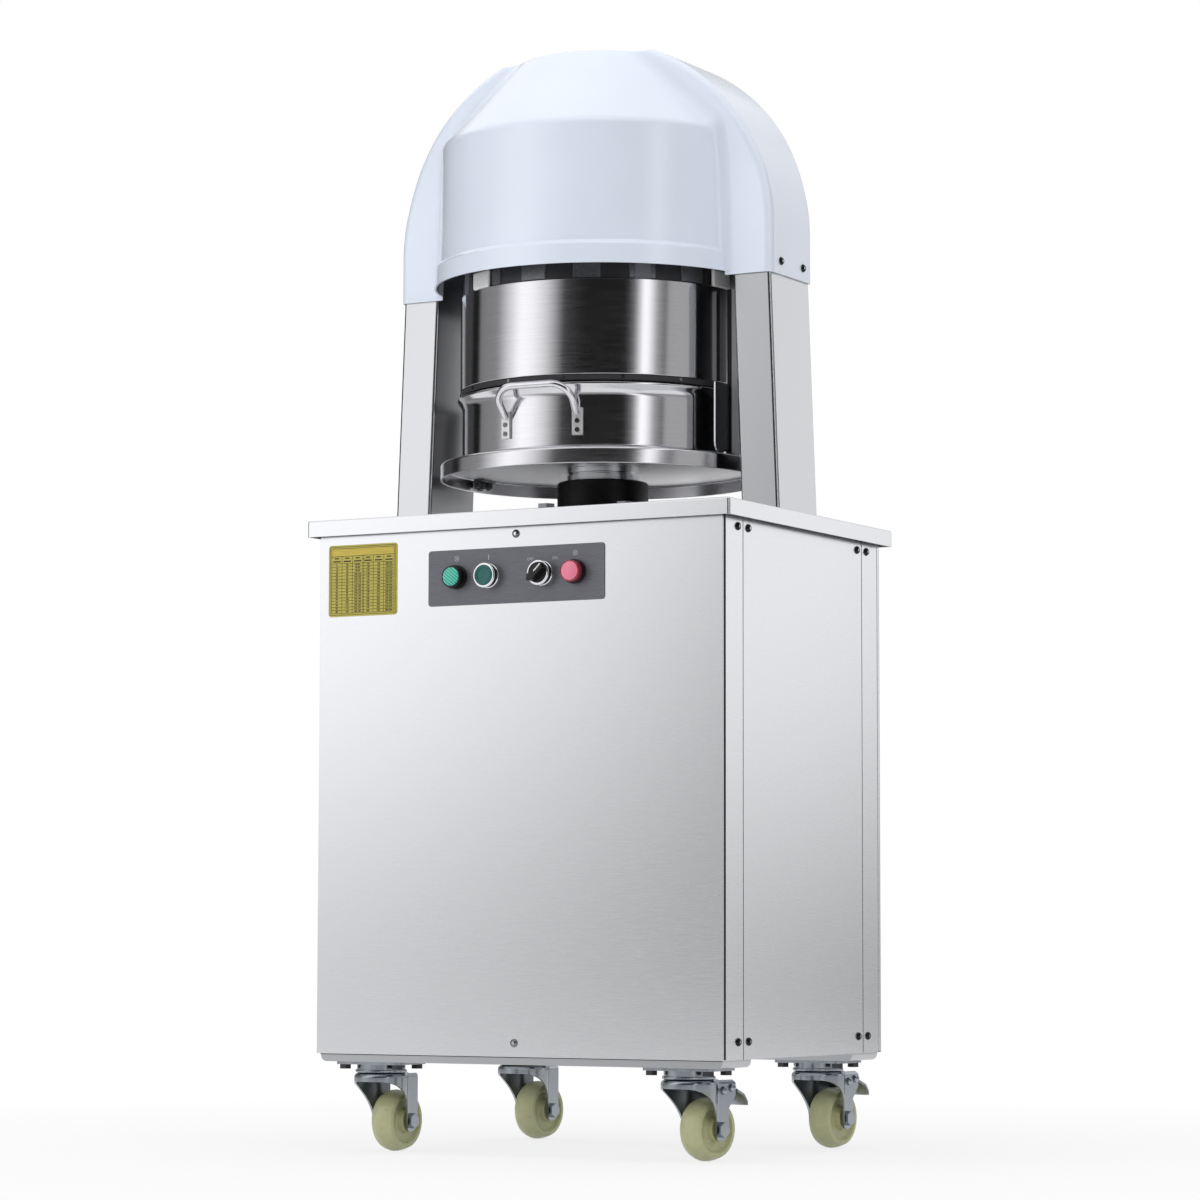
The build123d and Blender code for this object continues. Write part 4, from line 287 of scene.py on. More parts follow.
def grained(
    name, base, grain, spread, roughness, depth_mm=0.0, sheen=None, relief=None, span=(0.3, 0.7), **sockets
):
    """A finish whose grain shifts its colour and its roughness and raises it by a real depth.

    The roughness and the relief follow patterns of their own where these are given.
    """
    material, tree, shader = new_finish(name, base, **sockets)
    pattern = noise(tree, *grain)
    ramp = add_node(tree, "ShaderNodeValToRGB", {"Fac": pattern}, tones(base, spread, span))
    tree.links.new(ramp.outputs["Color"], shader.inputs["Base Color"])
    dull = {"From Min": 0.3, "From Max": 0.7, "To Min": roughness[0], "To Max": roughness[1]}
    dull["Value"] = noise(tree, *sheen) if sheen else pattern
    gloss = add_node(tree, "ShaderNodeMapRange", dull)
    tree.links.new(gloss.outputs["Result"], shader.inputs["Roughness"])
    if depth_mm:
        height = noise(tree, *relief) if relief else pattern
        bump = add_node(
            tree, "ShaderNodeBump", {"Height": height, "Strength": 1.0, "Distance": depth_mm * MM}
        )
        tree.links.new(bump.outputs["Normal"], shader.inputs["Normal"])
    return material


def around(middle, below, above):
    """The two ends of a range about a middle value."""
    return middle - below, middle + above


def brushed_stainless(name, base, roughness, grain_mm, stretch):
    """Belt-brushed stainless: fine straight lines that blur reflections into a soft sheen."""
    lines = (grain_mm, stretch, 4.0, 0.65)
    return grained(name, base, lines, 0.015, around(roughness, 0.02, 0.02), 0.00012, Metallic=1.0)


def turned_stainless(name, base, roughness):
    """Lathe-polished stainless: rings round the axis keep upright reflections sharp and long."""
    rings = (0.8, LEVEL_LINES, 3.0, 0.6)
    material = grained(
        name, base, rings, 0.05, around(roughness, 0.03, 0.04), 0.0015,
        Metallic=1.0, Anisotropic=0.8, Anisotropic_Rotation=0.25,
    )
    tree = material.node_tree
    along = add_node(tree, "ShaderNodeTangent", direction_type="RADIAL", axis="Z")
    tree.links.new(along.outputs["Tangent"], tree.nodes["Principled BSDF"].inputs["Tangent"])
    return material


def polished_metal(name, base, roughness):
    """Buffed or plated metal: clear reflections with faint handling marks."""
    marks = (6.0, EVEN, 5.0, 0.7)
    sheen = (max(0.02, roughness - 0.04), roughness + 0.06)
    return grained(name, base, marks, 0.04, sheen, span=(0.35, 0.65), Metallic=1.0)


def zinc_plate(name, base, roughness=0.2):
    """Blue-passivated zinc on a pressing: a cool bright sheen, slightly clouded where it was bent."""
    clouds = (11.0, EVEN, 3.0, 0.5)
    return grained(
        name, base, clouds, 0.07, around(roughness, 0.04, 0.04), 0.008, relief=(5.0,), Metallic=1.0
    )


def cast_metal(name, base, roughness, grit_mm, depth_mm, metallic=0.85):
    """Sand-cast alloy: a dull skin pitted at the size of the moulding sand."""
    grit = (grit_mm, EVEN, 6.0, 0.7)
    return grained(name, base, grit, 0.25, around(roughness, 0.1, 0.1), depth_mm, Metallic=metallic)


def black_oxide(name, base):
    """Blackened machined steel: an oily black that still shows its cutter rings."""
    rings = (1.6, (0.05, 0.05, 1.0), 4.0, 0.6)
    return grained(name, base, rings, 0.3, (0.3, 0.5), 0.02, relief=(0.9,), Metallic=0.6)


def moulded_skin(name, base, roughness):
    """Vacuum-formed gloss plastic: a clear top skin with slow ripples and a faint orange peel."""
    ripple = (90.0, EVEN, 1.0, 0.4)
    peel = (2.5, EVEN, 2.0, 0.5)
    return grained(
        name, base, ripple, 0.012, around(roughness, 0.03, 0.04), 0.012, peel, peel, (0.35, 0.65),
        IOR=1.5, Coat_Weight=0.45, Coat_Roughness=0.08, Coat_IOR=1.5,
    )


def moulded_plastic(name, base, roughness, grain_mm=0.8, depth_mm=0.012):
    """Injection-moulded plastic: the fine spark grain of its mould under a soft gloss."""
    # a real spark grain is far finer than a millimetre, so it is drawn coarser
    grain = (grain_mm, EVEN, 3.0, 0.6)
    return grained(name, base, grain, 0.05, around(roughness, 0.06, 0.06), depth_mm, IOR=1.5)


def cast_nylon(name, base):
    """Cream cast nylon: waxy, faintly see-through, with scuffs where it rolls."""
    cloud = (9.0, EVEN, 4.0, 0.6)
    return grained(
        name, base, cloud, 0.05, (0.26, 0.36), 0.006, relief=(3.0,), IOR=1.53,
        Subsurface_Weight=0.25, Subsurface_Scale=0.004, Subsurface_Radius=(1.0, 0.85, 0.4),
    )


def painted_steel(name, base, roughness):
    """Sprayed enamel on steel: even colour with the soft texture of the spray."""
    spray = (1.6, EVEN, 3.0, 0.5)
    return grained(name, base, spray, 0.06, around(roughness, 0.06, 0.06), 0.02, IOR=1.5)


def printed_metal(name, base, roughness, grain_mm):
    """Anodised and printed aluminium: a dyed metallic sheen over a fine brushed grain."""
    lines = (grain_mm, PLATE_LINES, 6.0, 0.75)
    sheen = around(roughness, 0.05, 0.07)
    return grained(name, base, lines, 0.22, sheen, 0.004, span=(0.32, 0.68), Metallic=0.55)


def ink(name, base):
    """Screen-printed ink: a thin matt film, slightly uneven in its cover."""
    return grained(name, base, (0.7, EVEN, 2.0, 0.5), 0.08, (0.45, 0.6), IOR=1.45)


def lamp_lens(name, base, ribs):
    """Tinted polycarbonate lens: glossy, glowing in its colour, with slanting prism ribs."""
    material, tree, shader = new_finish(
        name, base, IOR=1.58, Roughness=0.12, Subsurface_Weight=0.3, Subsurface_Scale=0.004,
        Coat_Weight=0.4, Coat_Roughness=0.05,
    )
    # prism ribs 3.2 mm apart; a wave texture repeats twenty times in a full turn of its scale
    scale = tau / (20 * 3.2 * MM)
    where = add_node(tree, "ShaderNodeTexCoord")
    slanted = add_node(
        tree, "ShaderNodeMapping", {"Vector": where.outputs["Object"], "Rotation": (0, radians(-38), 0)}
    )
    waves = {"Vector": slanted.outputs["Vector"], "Scale": scale, "Distortion": 0.6, "Detail": 1.0}
    prisms = add_node(tree, "ShaderNodeTexWave", waves, bands_direction="Z")
    ramp = add_node(
        tree, "ShaderNodeValToRGB", {"Fac": prisms.outputs["Fac"]}, tones(base, ribs, (0.25, 0.85))
    )
    tree.links.new(ramp.outputs["Color"], shader.inputs["Base Color"])
    return material


def low_high(node):
    """The lowest and highest corner of a CAD node, in millimetres."""
    low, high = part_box(node)
    return low / MM, high / MM


def centre_of(node):
    """The middle of a CAD node's box, in millimetres."""
    low, high = low_high(node)
    return (low + high) / 2


def dress(material, *nodes):
    """Gives CAD nodes their finish."""
    for name in nodes:
        NODES[name].data.materials.clear()
        NODES[name].data.materials.append(material)


def extra(name, node, bm, *finishes):
    """Makes a bmesh in millimetres into a piece that rides with a CAD node."""
    bmesh.ops.scale(bm, vec=(MM, MM, MM), verts=bm.verts)
    mesh = bpy.data.meshes.new(name)
    bm.to_mesh(mesh)
    bm.free()
    for finish in finishes:
        mesh.materials.append(finish)
    mesh.shade_smooth()
    mesh.set_sharp_from_angle(angle=CREASE)
    if "custom_normal" in mesh.attributes:
        mesh.attributes.remove(mesh.attributes["custom_normal"])
    made = bpy.data.objects.new(name, mesh)
    made.modifiers.new("flat faces stay flat", "WEIGHTED_NORMAL").keep_sharp = True
    bpy.context.scene.collection.objects.link(made)
    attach(made, NODES[node]["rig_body"])
    return made


def piece(name, node, bm, *finishes):
    """A piece that rides with a CAD node and stands for it."""
    made = extra(name, node, bm, *finishes)
    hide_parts(node)


def second_finish(bm, chosen, index=1):
    """Gives the faces whose centre and normal pass a test the second or a later finish of the piece."""
    for face in bm.faces:
        if chosen(face.calc_center_median(), face.normal):
            face.material_index = index
    return bm


def rounded(bm, geom, offset, segments, affect="EDGES", clamp=False):
    """Rounds chosen edges or corners of a bmesh."""
    bmesh.ops.bevel(
        bm, geom=geom, offset=offset, offset_type="OFFSET", segments=segments, profile=0.5,
        affect=affect, clamp_overlap=clamp, material=-1,
    )
    return bm


def outward(bm):
    """Turns the normals of a bmesh to the outside."""
    bmesh.ops.recalc_face_normals(bm, faces=bm.faces)
    return bm


def spun(profile, steps, closed=True):
    """A solid turned about Z from points of radius, height and rounding in millimetres."""
    bm = bmesh.new()
    points = [bm.verts.new((radius, 0, height)) for radius, height, _ in profile]
    pairs = list(zip(points, points[1:]))
    if closed:
        pairs.append((points[-1], points[0]))
    for pair in pairs:
        bm.edges.new(pair)
    for point, (_, _, rounding) in zip(points, profile):
        if rounding:
            rounded(bm, [point], rounding, 4, "VERTICES")
    bmesh.ops.spin(
        bm, geom=bm.verts[:] + bm.edges[:], axis=(0, 0, 1), cent=(0, 0, 0), angle=tau, steps=steps,
        use_merge=True,
    )
    bmesh.ops.remove_doubles(bm, verts=bm.verts, dist=0.0005)
    return outward(bm)


def moved(bm, *steps):
    """Applies transforms to a whole bmesh, the last one named first."""
    matrix = Matrix.Identity(4)
    for step in steps:
        matrix = matrix @ step
    bmesh.ops.transform(bm, matrix=matrix, verts=bm.verts)
    return bm


def gathered(parts):
    """Several bmeshes as one."""
    whole = bmesh.new()
    for part in parts:
        mesh = bpy.data.meshes.new("gathered")
        part.to_mesh(mesh)
        part.free()
        whole.from_mesh(mesh)
        bpy.data.meshes.remove(mesh)
    return whole


def copies(bm, places):
    """Copies of a bmesh at several places, as one."""
    return gathered([moved(bm.copy(), place) for place in places])


def bar(size, centre, rounding=0.0):
    """A block with softened edges."""
    bm = bmesh.new()
    bmesh.ops.create_cube(bm, size=1.0)
    moved(bm, Matrix.Translation(centre), Matrix.Diagonal((*size, 1.0)))
    if rounding:
        rounded(bm, bm.edges[:], rounding, 3)
    return bm


def softened(node, rounding, hard=radians(38)):
    """A merged copy of a CAD node, in millimetres, with its hard edges rounded."""
    bm = bmesh.new()
    bm.from_mesh(NODES[node].data)
    bmesh.ops.scale(bm, vec=(1 / MM, 1 / MM, 1 / MM), verts=bm.verts)
    bmesh.ops.remove_doubles(bm, verts=bm.verts, dist=0.002)
    bmesh.ops.dissolve_limit(bm, angle_limit=radians(0.4), verts=bm.verts, edges=bm.edges)
    edges = [e for e in bm.edges if len(e.link_faces) == 2 and e.calc_face_angle() > hard]
    return rounded(bm, edges, rounding, 2, clamp=True)


def lettering(text, height, place, weight=0.0, depth=0.06):
    """Raised characters, centred on a place of the front face and facing the front."""
    curve = bpy.data.curves.new("lettering", "FONT")
    curve.body = text
    curve.size = height
    curve.offset = weight
    curve.extrude = depth
    curve.align_x = "CENTER"
    curve.align_y = "CENTER"
    curve.resolution_u = 2
    source = bpy.data.objects.new("lettering", curve)
    bpy.context.scene.collection.objects.link(source)
    bpy.context.view_layer.update()
    mesh = bpy.data.meshes.new_from_object(source)
    bm = bmesh.new()
    bm.from_mesh(mesh)
    bpy.data.objects.remove(source)
    bpy.data.curves.remove(curve)
    bpy.data.meshes.remove(mesh)
    return moved(bm, facing_front(*place))


def rotation(angle, axis="Z"):
    """A turn about an axis, by default the machine's own."""
    return Matrix.Rotation(angle, 4, axis)


def facing_front(x, y, z):
    """Places a piece turned about Z so that its axis points out of the front."""
    return Matrix.Translation((x, y, z)) @ rotation(pi / 2, "X")


def on_front(node):
    """The place of a turned device: the middle of a node's back, facing the front."""
    centre = centre_of(node)
    return facing_front(centre.x, low_high(node)[1].y, centre.z)


class DressCabinet(bpy.types.Operator):
    """Brushed sheets, columns and the folded worktop"""

    bl_idname = "divider.cabinet"
    bl_label = "Cabinet and columns"

    panels = ("front_panel", "rear_panel", "left_side_panel", "right_side_panel", "top_plate")
    # each column with the way its inner face looks, and the tones of that face and of its front: painted
    # shade, darker copies of the tube's finish
    columns = (("left_column", 1, 0.45, 1.0), ("right_column", -1, 0.2, 0.76))
    column_lean = 0.0385
    sheet = 2.0
    # dark strips in the joints, standing in for the shade there as painted shade, the rear panel's turned-in
    # edges and the room left round both
    strip_width, edge_depth, clear = 5.0, 3.8, 0.1
    fold_width, fold_depth, fold_inset, fold_rise = 1.1, 0.3, 2.6, 12.0

    def execute(self, context):
        steel = settings("steel")
        grain, rounding = steel.sheet_grain / MM, steel.edge_round / MM
        level = brushed_stainless("belt-brushed stainless sheet", steel.sheet, 0.26, grain, LEVEL_LINES)
        # painted shade: the base rails get a darker, rougher copy of the sheet finish
        dull = brushed_stainless("mill-finish stainless", steel.rail_shade, 0.3, grain, LEVEL_LINES)
        for node in self.panels:
            piece(node + "_sheet", node, softened(node, rounding), level)
        rails = low_high("front_panel")[0].z
        welded = second_finish(softened("cabinet_frame", rounding), lambda centre, normal: centre.z < rails)
        piece("cabinet_frame_sheet", "cabinet_frame", welded, level, dull)
        self.tubes(steel, grain, rounding)
        self.seals(level)
        self.folds()
        enamel = painted_steel("grey machine enamel", settings("moulded").enamel, 0.45)
        dress(enamel, "bed_plate", "head_beam", "press_carrier", "cylinder_barrel")
        return {"FINISHED"}

    def tubes(self, steel, grain, rounding):
        """The columns: a rougher inner face darkened as painted shade, and a front in its own painted-shade
        tone.
        """
        outside = brushed_stainless("belt-brushed stainless tube", steel.tube, 0.25, grain, UPRIGHT_LINES)
        for node, side, inside, front in self.columns:
            dark, pale = toned(steel.tube, inside), toned(steel.tube, front)
            inner = brushed_stainless(node + " inside in painted shade", dark, 0.3, grain, UPRIGHT_LINES)
            front_tone_shade = brushed_stainless(node + " front in painted shade tone", pale, 0.25, grain, UPRIGHT_LINES)
            # painted shade: the inner face takes the darker copy, the front its own tone
            tube = second_finish(softened(node, rounding), lambda centre, normal: normal.x * side > 0.9)
            second_finish(tube, lambda centre, normal: normal.y < -0.9, 2)
            piece(node + "_tube", node, tube, outside, inner, front_tone_shade)

    def seals(self, level):
        """Dark strips as painted shade in the joints of the cabinet, and the turned-in edges of its rear
        panel.
        """
        low, high = low_high("front_panel")
        panel_back = low.y + self.sheet
        seam_y = low_high("right_side_panel")[1].y + SEAM / 2
        middle, tall = (low.z + high.z) / 2, high.z - low.z - 2.0
        wide, deep, clear = self.strip_width, self.edge_depth, self.clear
        strips, edges = [], []
        for side in (-1, 1):
            x = side * (high.x + clear - wide / 2)
            strips.append(bar((wide, wide, tall), (x, panel_back + clear + wide / 2, middle)))
            strips.append(bar((2 * high.x - 8.0, 2.6, 0.8), (0, side * (-panel_back - 1.6), low.z - 0.5)))
            x = side * (high.x - clear - wide / 2)
            edges.append(bar((wide, deep, tall), (x, -panel_back - clear - deep / 2, middle)))
            for y in (-seam_y, seam_y):
                strips.append(bar((1.4, SEAM - 2 * clear, tall), (side * (high.x - 1.2), y, middle)))
        # painted shade: dark strips fill the joints where shade falls
        painted_shade = moulded_plastic("black foam strip", settings("moulded").painted_shade, 0.7, 0.6, 0.05)
        extra("joint_strips", "cabinet_frame", gathered(strips), painted_shade)
        extra("rear_edges", "rear_panel", gathered(edges), level)

    def folds(self):
        """The dark line of painted shade up the outer front corner of each column."""
        painted_shade = moulded_plastic("fold line of painted shade", settings("moulded").painted_shade, 0.6, 0.6, 0.02)
        low, high = low_high("right_column")
        foot = low_high("top_plate")[1].z
        tall = low_high("hood")[0].z + self.fold_rise - foot
        place = Matrix.Translation((high.x - self.fold_inset, low.y, foot))
        lean = rotation(-atan2(self.column_lean, 1.0), "Y")
        for node, side, _, _ in self.columns:
            line = bar((self.fold_width, self.fold_depth, tall), (0, 0, tall / 2), 0.1)
            mirrored = Matrix.Diagonal((-side, 1, 1, 1))
            extra(node + "_fold", node, outward(moved(line, mirrored, place, lean)), painted_shade)


class DressHood(bpy.types.Operator):
    """The white moulded hood"""

    bl_idname = "divider.hood"
    bl_label = "Hood"

    def execute(self, context):
        moulded = settings("moulded")
        dress(moulded_skin("vacuum-formed gloss white", moulded.hood, moulded.hood_gloss), "hood")
        return {"FINISHED"}


class DressHead(bpy.types.Operator):
    """The sleeve, its gasket and the cast dividing head"""

    bl_idname = "divider.head"
    bl_label = "Dividing head"

    sleeve_wall = 2.0
    flange_height = 3.0
    gasket_width = 5.8
    lug_angles, lug_size, lug_out = (-118.4, -6.6, 117.5), (5.0, 36.0, 21.5), 3.2
    pad_count, pad_size, pad_inset, pad_lift = 16, (3.0, 34.0, 20.0), 0.6, 1.0

    def execute(self, context):
        steel, moulded = settings("steel"), settings("moulded")
        steps = settings("turned").large_steps
        low, high = low_high("head_sleeve")
        gasket_low, gasket_high = low_high("sleeve_gasket")
        inner, wall = gasket_high.x - self.gasket_width, high.x - self.sleeve_wall
        flange = low.z + self.flange_height
        drum = [
            (inner, low.z, 0.3), (high.x, low.z, 1.0), (high.x, high.z, 0.6), (wall, high.z, 0.6),
            (wall, flange, 0.8), (inner, flange, 0.5),
        ]
        bright = turned_stainless("lathe-polished stainless sleeve", steel.bright, 0.14)
        piece("sleeve_drum", "head_sleeve", spun(drum, steps), bright)
        ring = [
            (inner, gasket_low.z, 0.6), (gasket_high.x, gasket_low.z, 1.2),
            (gasket_high.x, gasket_high.z - 0.4, 0.6), (inner, gasket_high.z, 0),
        ]
        rubber = moulded_plastic("dark moulded rubber", moulded.gasket, 0.55, 1.2, 0.02)
        piece("gasket_ring", "sleeve_gasket", spun(ring, steps), rubber)
        self.castings(steel, high.z)
        dress(cast_metal("dark cast alloy", steel.cast, 0.42, 1.6, 0.06), "knife_head")
        dress(polished_metal("ground blade steel", steel.blade, 0.2), "knife_grid")
        dress(moulded_plastic("white food plastic", moulded.pad, 0.4), "press_pads")
        return {"FINISHED"}

    def castings(self, steel, foot):
        """Rough lugs on the rim of the sleeve, whose near-white colour is partly painted light, and machined
        pads round the cast ring.
        """
        edge = low_high("knife_head")[1].x
        lug = bar(self.lug_size, (edge + self.lug_out, 0, foot + self.lug_size[2] / 2), 2.4)
        turns = [rotation(radians(angle)) for angle in self.lug_angles]
        # partly painted light: the near-white colour stands in for the light the lugs catch
        rough = cast_metal("bare sand-cast alloy", steel.lug, 0.6, 1.6, 0.25, 0.0)
        extra("cast_lugs", "head_sleeve", copies(lug, turns), rough)
        pad_middle = foot + self.pad_lift + self.pad_size[2] / 2
        pad = bar(self.pad_size, (edge - self.pad_inset, 0, pad_middle), 1.2)
        turns = [rotation(tau * index / self.pad_count) for index in range(self.pad_count)]
        machined = cast_metal("machined cast alloy", steel.pad, 0.38, 2.5, 0.05)
        extra("cast_pads", "knife_head", copies(pad, turns), machined)


class DressLift(bpy.types.Operator):
    """The tray, ram and black collar"""

    bl_idname = "divider.lift"
    bl_label = "Lift"

    tray_wall = 3.0
    tray_floor = 5.0
    guide_bolt_y = -29.0
    clamp_size, clamp_inset, nut_shift = (13.0, 34.0, 3.0), 5.5, 9.0
    # inner edge, joint and outer edge of the upright plate, its thickness and its place behind the bolt
    upright_edges, upright_thick, upright_gap = (184.4, 190.5, 202.4), 2.0, 12.0
    ram_radius, piston_height = 46.0, 15.0
    groove_rise, groove_depth, groove_width = 8.0, 1.5, 2.5
    collar_radius, flange_height, bore_gap = 57.0, 10.0, 0.05

    def execute(self, context):
        steel = settings("steel")
        steps = settings("turned").small_steps
        self.tray(steel)
        self.clamps(steel)
        self.ram(steel, steps)
        self.collar(steel, steps)
        # painted shade: the guides' faces across X get a darker, duller finish than their edges
        strips = second_finish(softened("pan_guides", 0.5), lambda centre, normal: abs(normal.x) > 0.7)
        edge = polished_metal("bent stainless strip", steel.bright, 0.2)
        face = polished_metal("guide face in painted shade", steel.rolled, 0.3)
        piece("guide_strips", "pan_guides", strips, edge, face)
        self.upright(steel)
        return {"FINISHED"}

    def tray(self, steel):
        """The upside-down dish, bright outside and satin below, the near-white colour below being painted
        light.
        """
        low, high = low_high("tray")
        wall, under = high.x - self.tray_wall, high.z - self.tray_floor
        profile = [
            (0, high.z, 0), (high.x, high.z, 3.5), (high.x, low.z, 1.2), (wall, low.z, 1.2),
            (wall, under, 2.0), (0, under, 0),
        ]
        dish = second_finish(
            spun(profile, settings("turned").large_steps, False),
            lambda centre, normal: normal.z < -0.8 and centre.z < under + 0.5,
        )
        bright = turned_stainless("lathe-polished stainless tray", steel.bright, 0.17)
        # painted light: the underside's colour is lighter than the steel outside
        satin = polished_metal("satin stainless underside in painted light", steel.underside, 0.42)
        piece("tray_dish", "tray", dish, bright, satin)

    def upright(self, steel):
        """The tall flat plate behind the right pan guide, with a black strip of painted shade along its inner
        edge.
        """
        foot, top = low_high("tray")[1].z, low_high("head_sleeve")[1].z - 2.0
        behind = self.guide_bolt_y + self.upright_gap
        inner, joint, outer = self.upright_edges
        tall, middle = top - foot, (foot + top) / 2
        parts = [
            bar((end - start, self.upright_thick, tall), ((start + end) / 2, behind, middle), 0.4)
            for start, end in ((inner, joint), (joint, outer))
        ]
        # painted shade: the inner part is black, the outer part grey primer
        both = second_finish(gathered(parts), lambda centre, normal: centre.x > joint)
        black = moulded_plastic("black strip of painted shade", settings("moulded").painted_shade, 0.5, 0.6, 0.02)
        extra("guide_upright", "tray", both, black, painted_steel("grey primer", steel.primer, 0.5))

    def clamps(self, steel):
        """Clamp plates with nuts under the tray, where the guides are bolted on."""
        under = low_high("tray")[1].z - self.tray_floor
        x, y = low_high("tray_bolts")[1].x - self.clamp_inset, self.guide_bolt_y
        thick = self.clamp_size[2]
        nut = [(0, 0, 0), (6.2, 0, 0.8), (6.2, 7.0, 1.2), (3.0, 7.0, 0.3), (3.0, 9.0, 0.4), (0, 9.0, 0)]
        parts = [bar(self.clamp_size, (x, y, under - thick / 2), 0.8)]
        for shift in (-self.nut_shift, self.nut_shift):
            place = Matrix.Translation((x, y + shift, under - thick))
            parts.append(moved(spun(nut, 6, False), place, rotation(pi, "X")))
        dark = cast_metal("oiled black clamp steel", steel.clamp, 0.4, 2.0, 0.05)
        extra("guide_clamps", "tray", copies(gathered(parts), [rotation(0), rotation(pi)]), dark)

    def ram(self, steel, steps):
        """The hard-chromed plunger with its wiper groove."""
        low, high = low_high("ram")
        piston = low.z + self.piston_height
        start = low_high("cylinder_gland")[1].z + self.groove_rise
        end, slope = start + self.groove_width, 0.4
        radius, deep = self.ram_radius, self.ram_radius - self.groove_depth
        profile = [
            (0, low.z, 0), (high.x, low.z, 1.0), (high.x, piston, 1.0), (radius, piston, 0.5),
            (radius, start, 0.6), (deep, start + slope, 0.4), (deep, end - slope, 0.4), (radius, end, 0.6),
            (radius, high.z, 0.6), (0, high.z, 0),
        ]
        chrome = turned_stainless("ground hard chrome", steel.chrome, 0.12)
        piece("ram_plunger", "ram", spun(profile, steps, False), chrome)

    def collar(self, steel, steps):
        """The blackened collar on its flange."""
        low, high = low_high("cylinder_gland")
        outer, bore = self.collar_radius, self.ram_radius + self.bore_gap
        flange = low.z + self.flange_height
        profile = [
            (bore, low.z, 0), (high.x, low.z, 0.6), (high.x, flange, 1.5), (outer, flange, 1.5),
            (outer, high.z, 3.0), (bore, high.z, 1.0),
        ]
        black = black_oxide("black-oxide steel", steel.black_oxide)
        piece("collar_flange", "cylinder_gland", spun(profile, steps), black)


class DressPan(bpy.types.Operator):
    """The deep pan with its rolled rim, handles and rivets"""

    bl_idname = "divider.pan"
    bl_label = "Pan"

    wall = 1.6
    floor = 2.5
    rim_reach = 6.3
    rim_height = 11.0
    foot_reach = 3.4

    def execute(self, context):
        steel = settings("steel")
        low, high = low_high("dough_pan")
        outer, flare = high.x - self.rim_reach, high.z - self.rim_height
        inner, floor = outer - self.wall, low.z + self.floor
        profile = [
            (0, low.z, 0), (outer, low.z, 6.0), (outer, flare, 5.0), (high.x, high.z - 2.6, 0.8),
            (high.x, high.z, 0.8), (high.x - 1.8, high.z, 0.7), (inner, flare + 1.0, 5.0),
            (inner, floor, 4.4), (0, floor, 0),
        ]
        bright = turned_stainless("lathe-polished stainless pan", steel.bright, 0.13)
        piece("pan_bowl", "dough_pan", spun(profile, settings("turned").large_steps, False), bright)
        foot = outer + self.foot_reach
        handles = second_finish(softened("pan_handles", 0.3), lambda centre, normal: centre.xy.length < foot)
        rod = polished_metal("buffed stainless rod", steel.rod, 0.1)
        satin = polished_metal("satin stainless foot", steel.underside, 0.5)
        piece("handle_rods", "pan_handles", handles, rod, satin)
        dress(polished_metal("dull rivet steel", steel.fastener, 0.3), "handle_rivets")
        return {"FINISHED"}


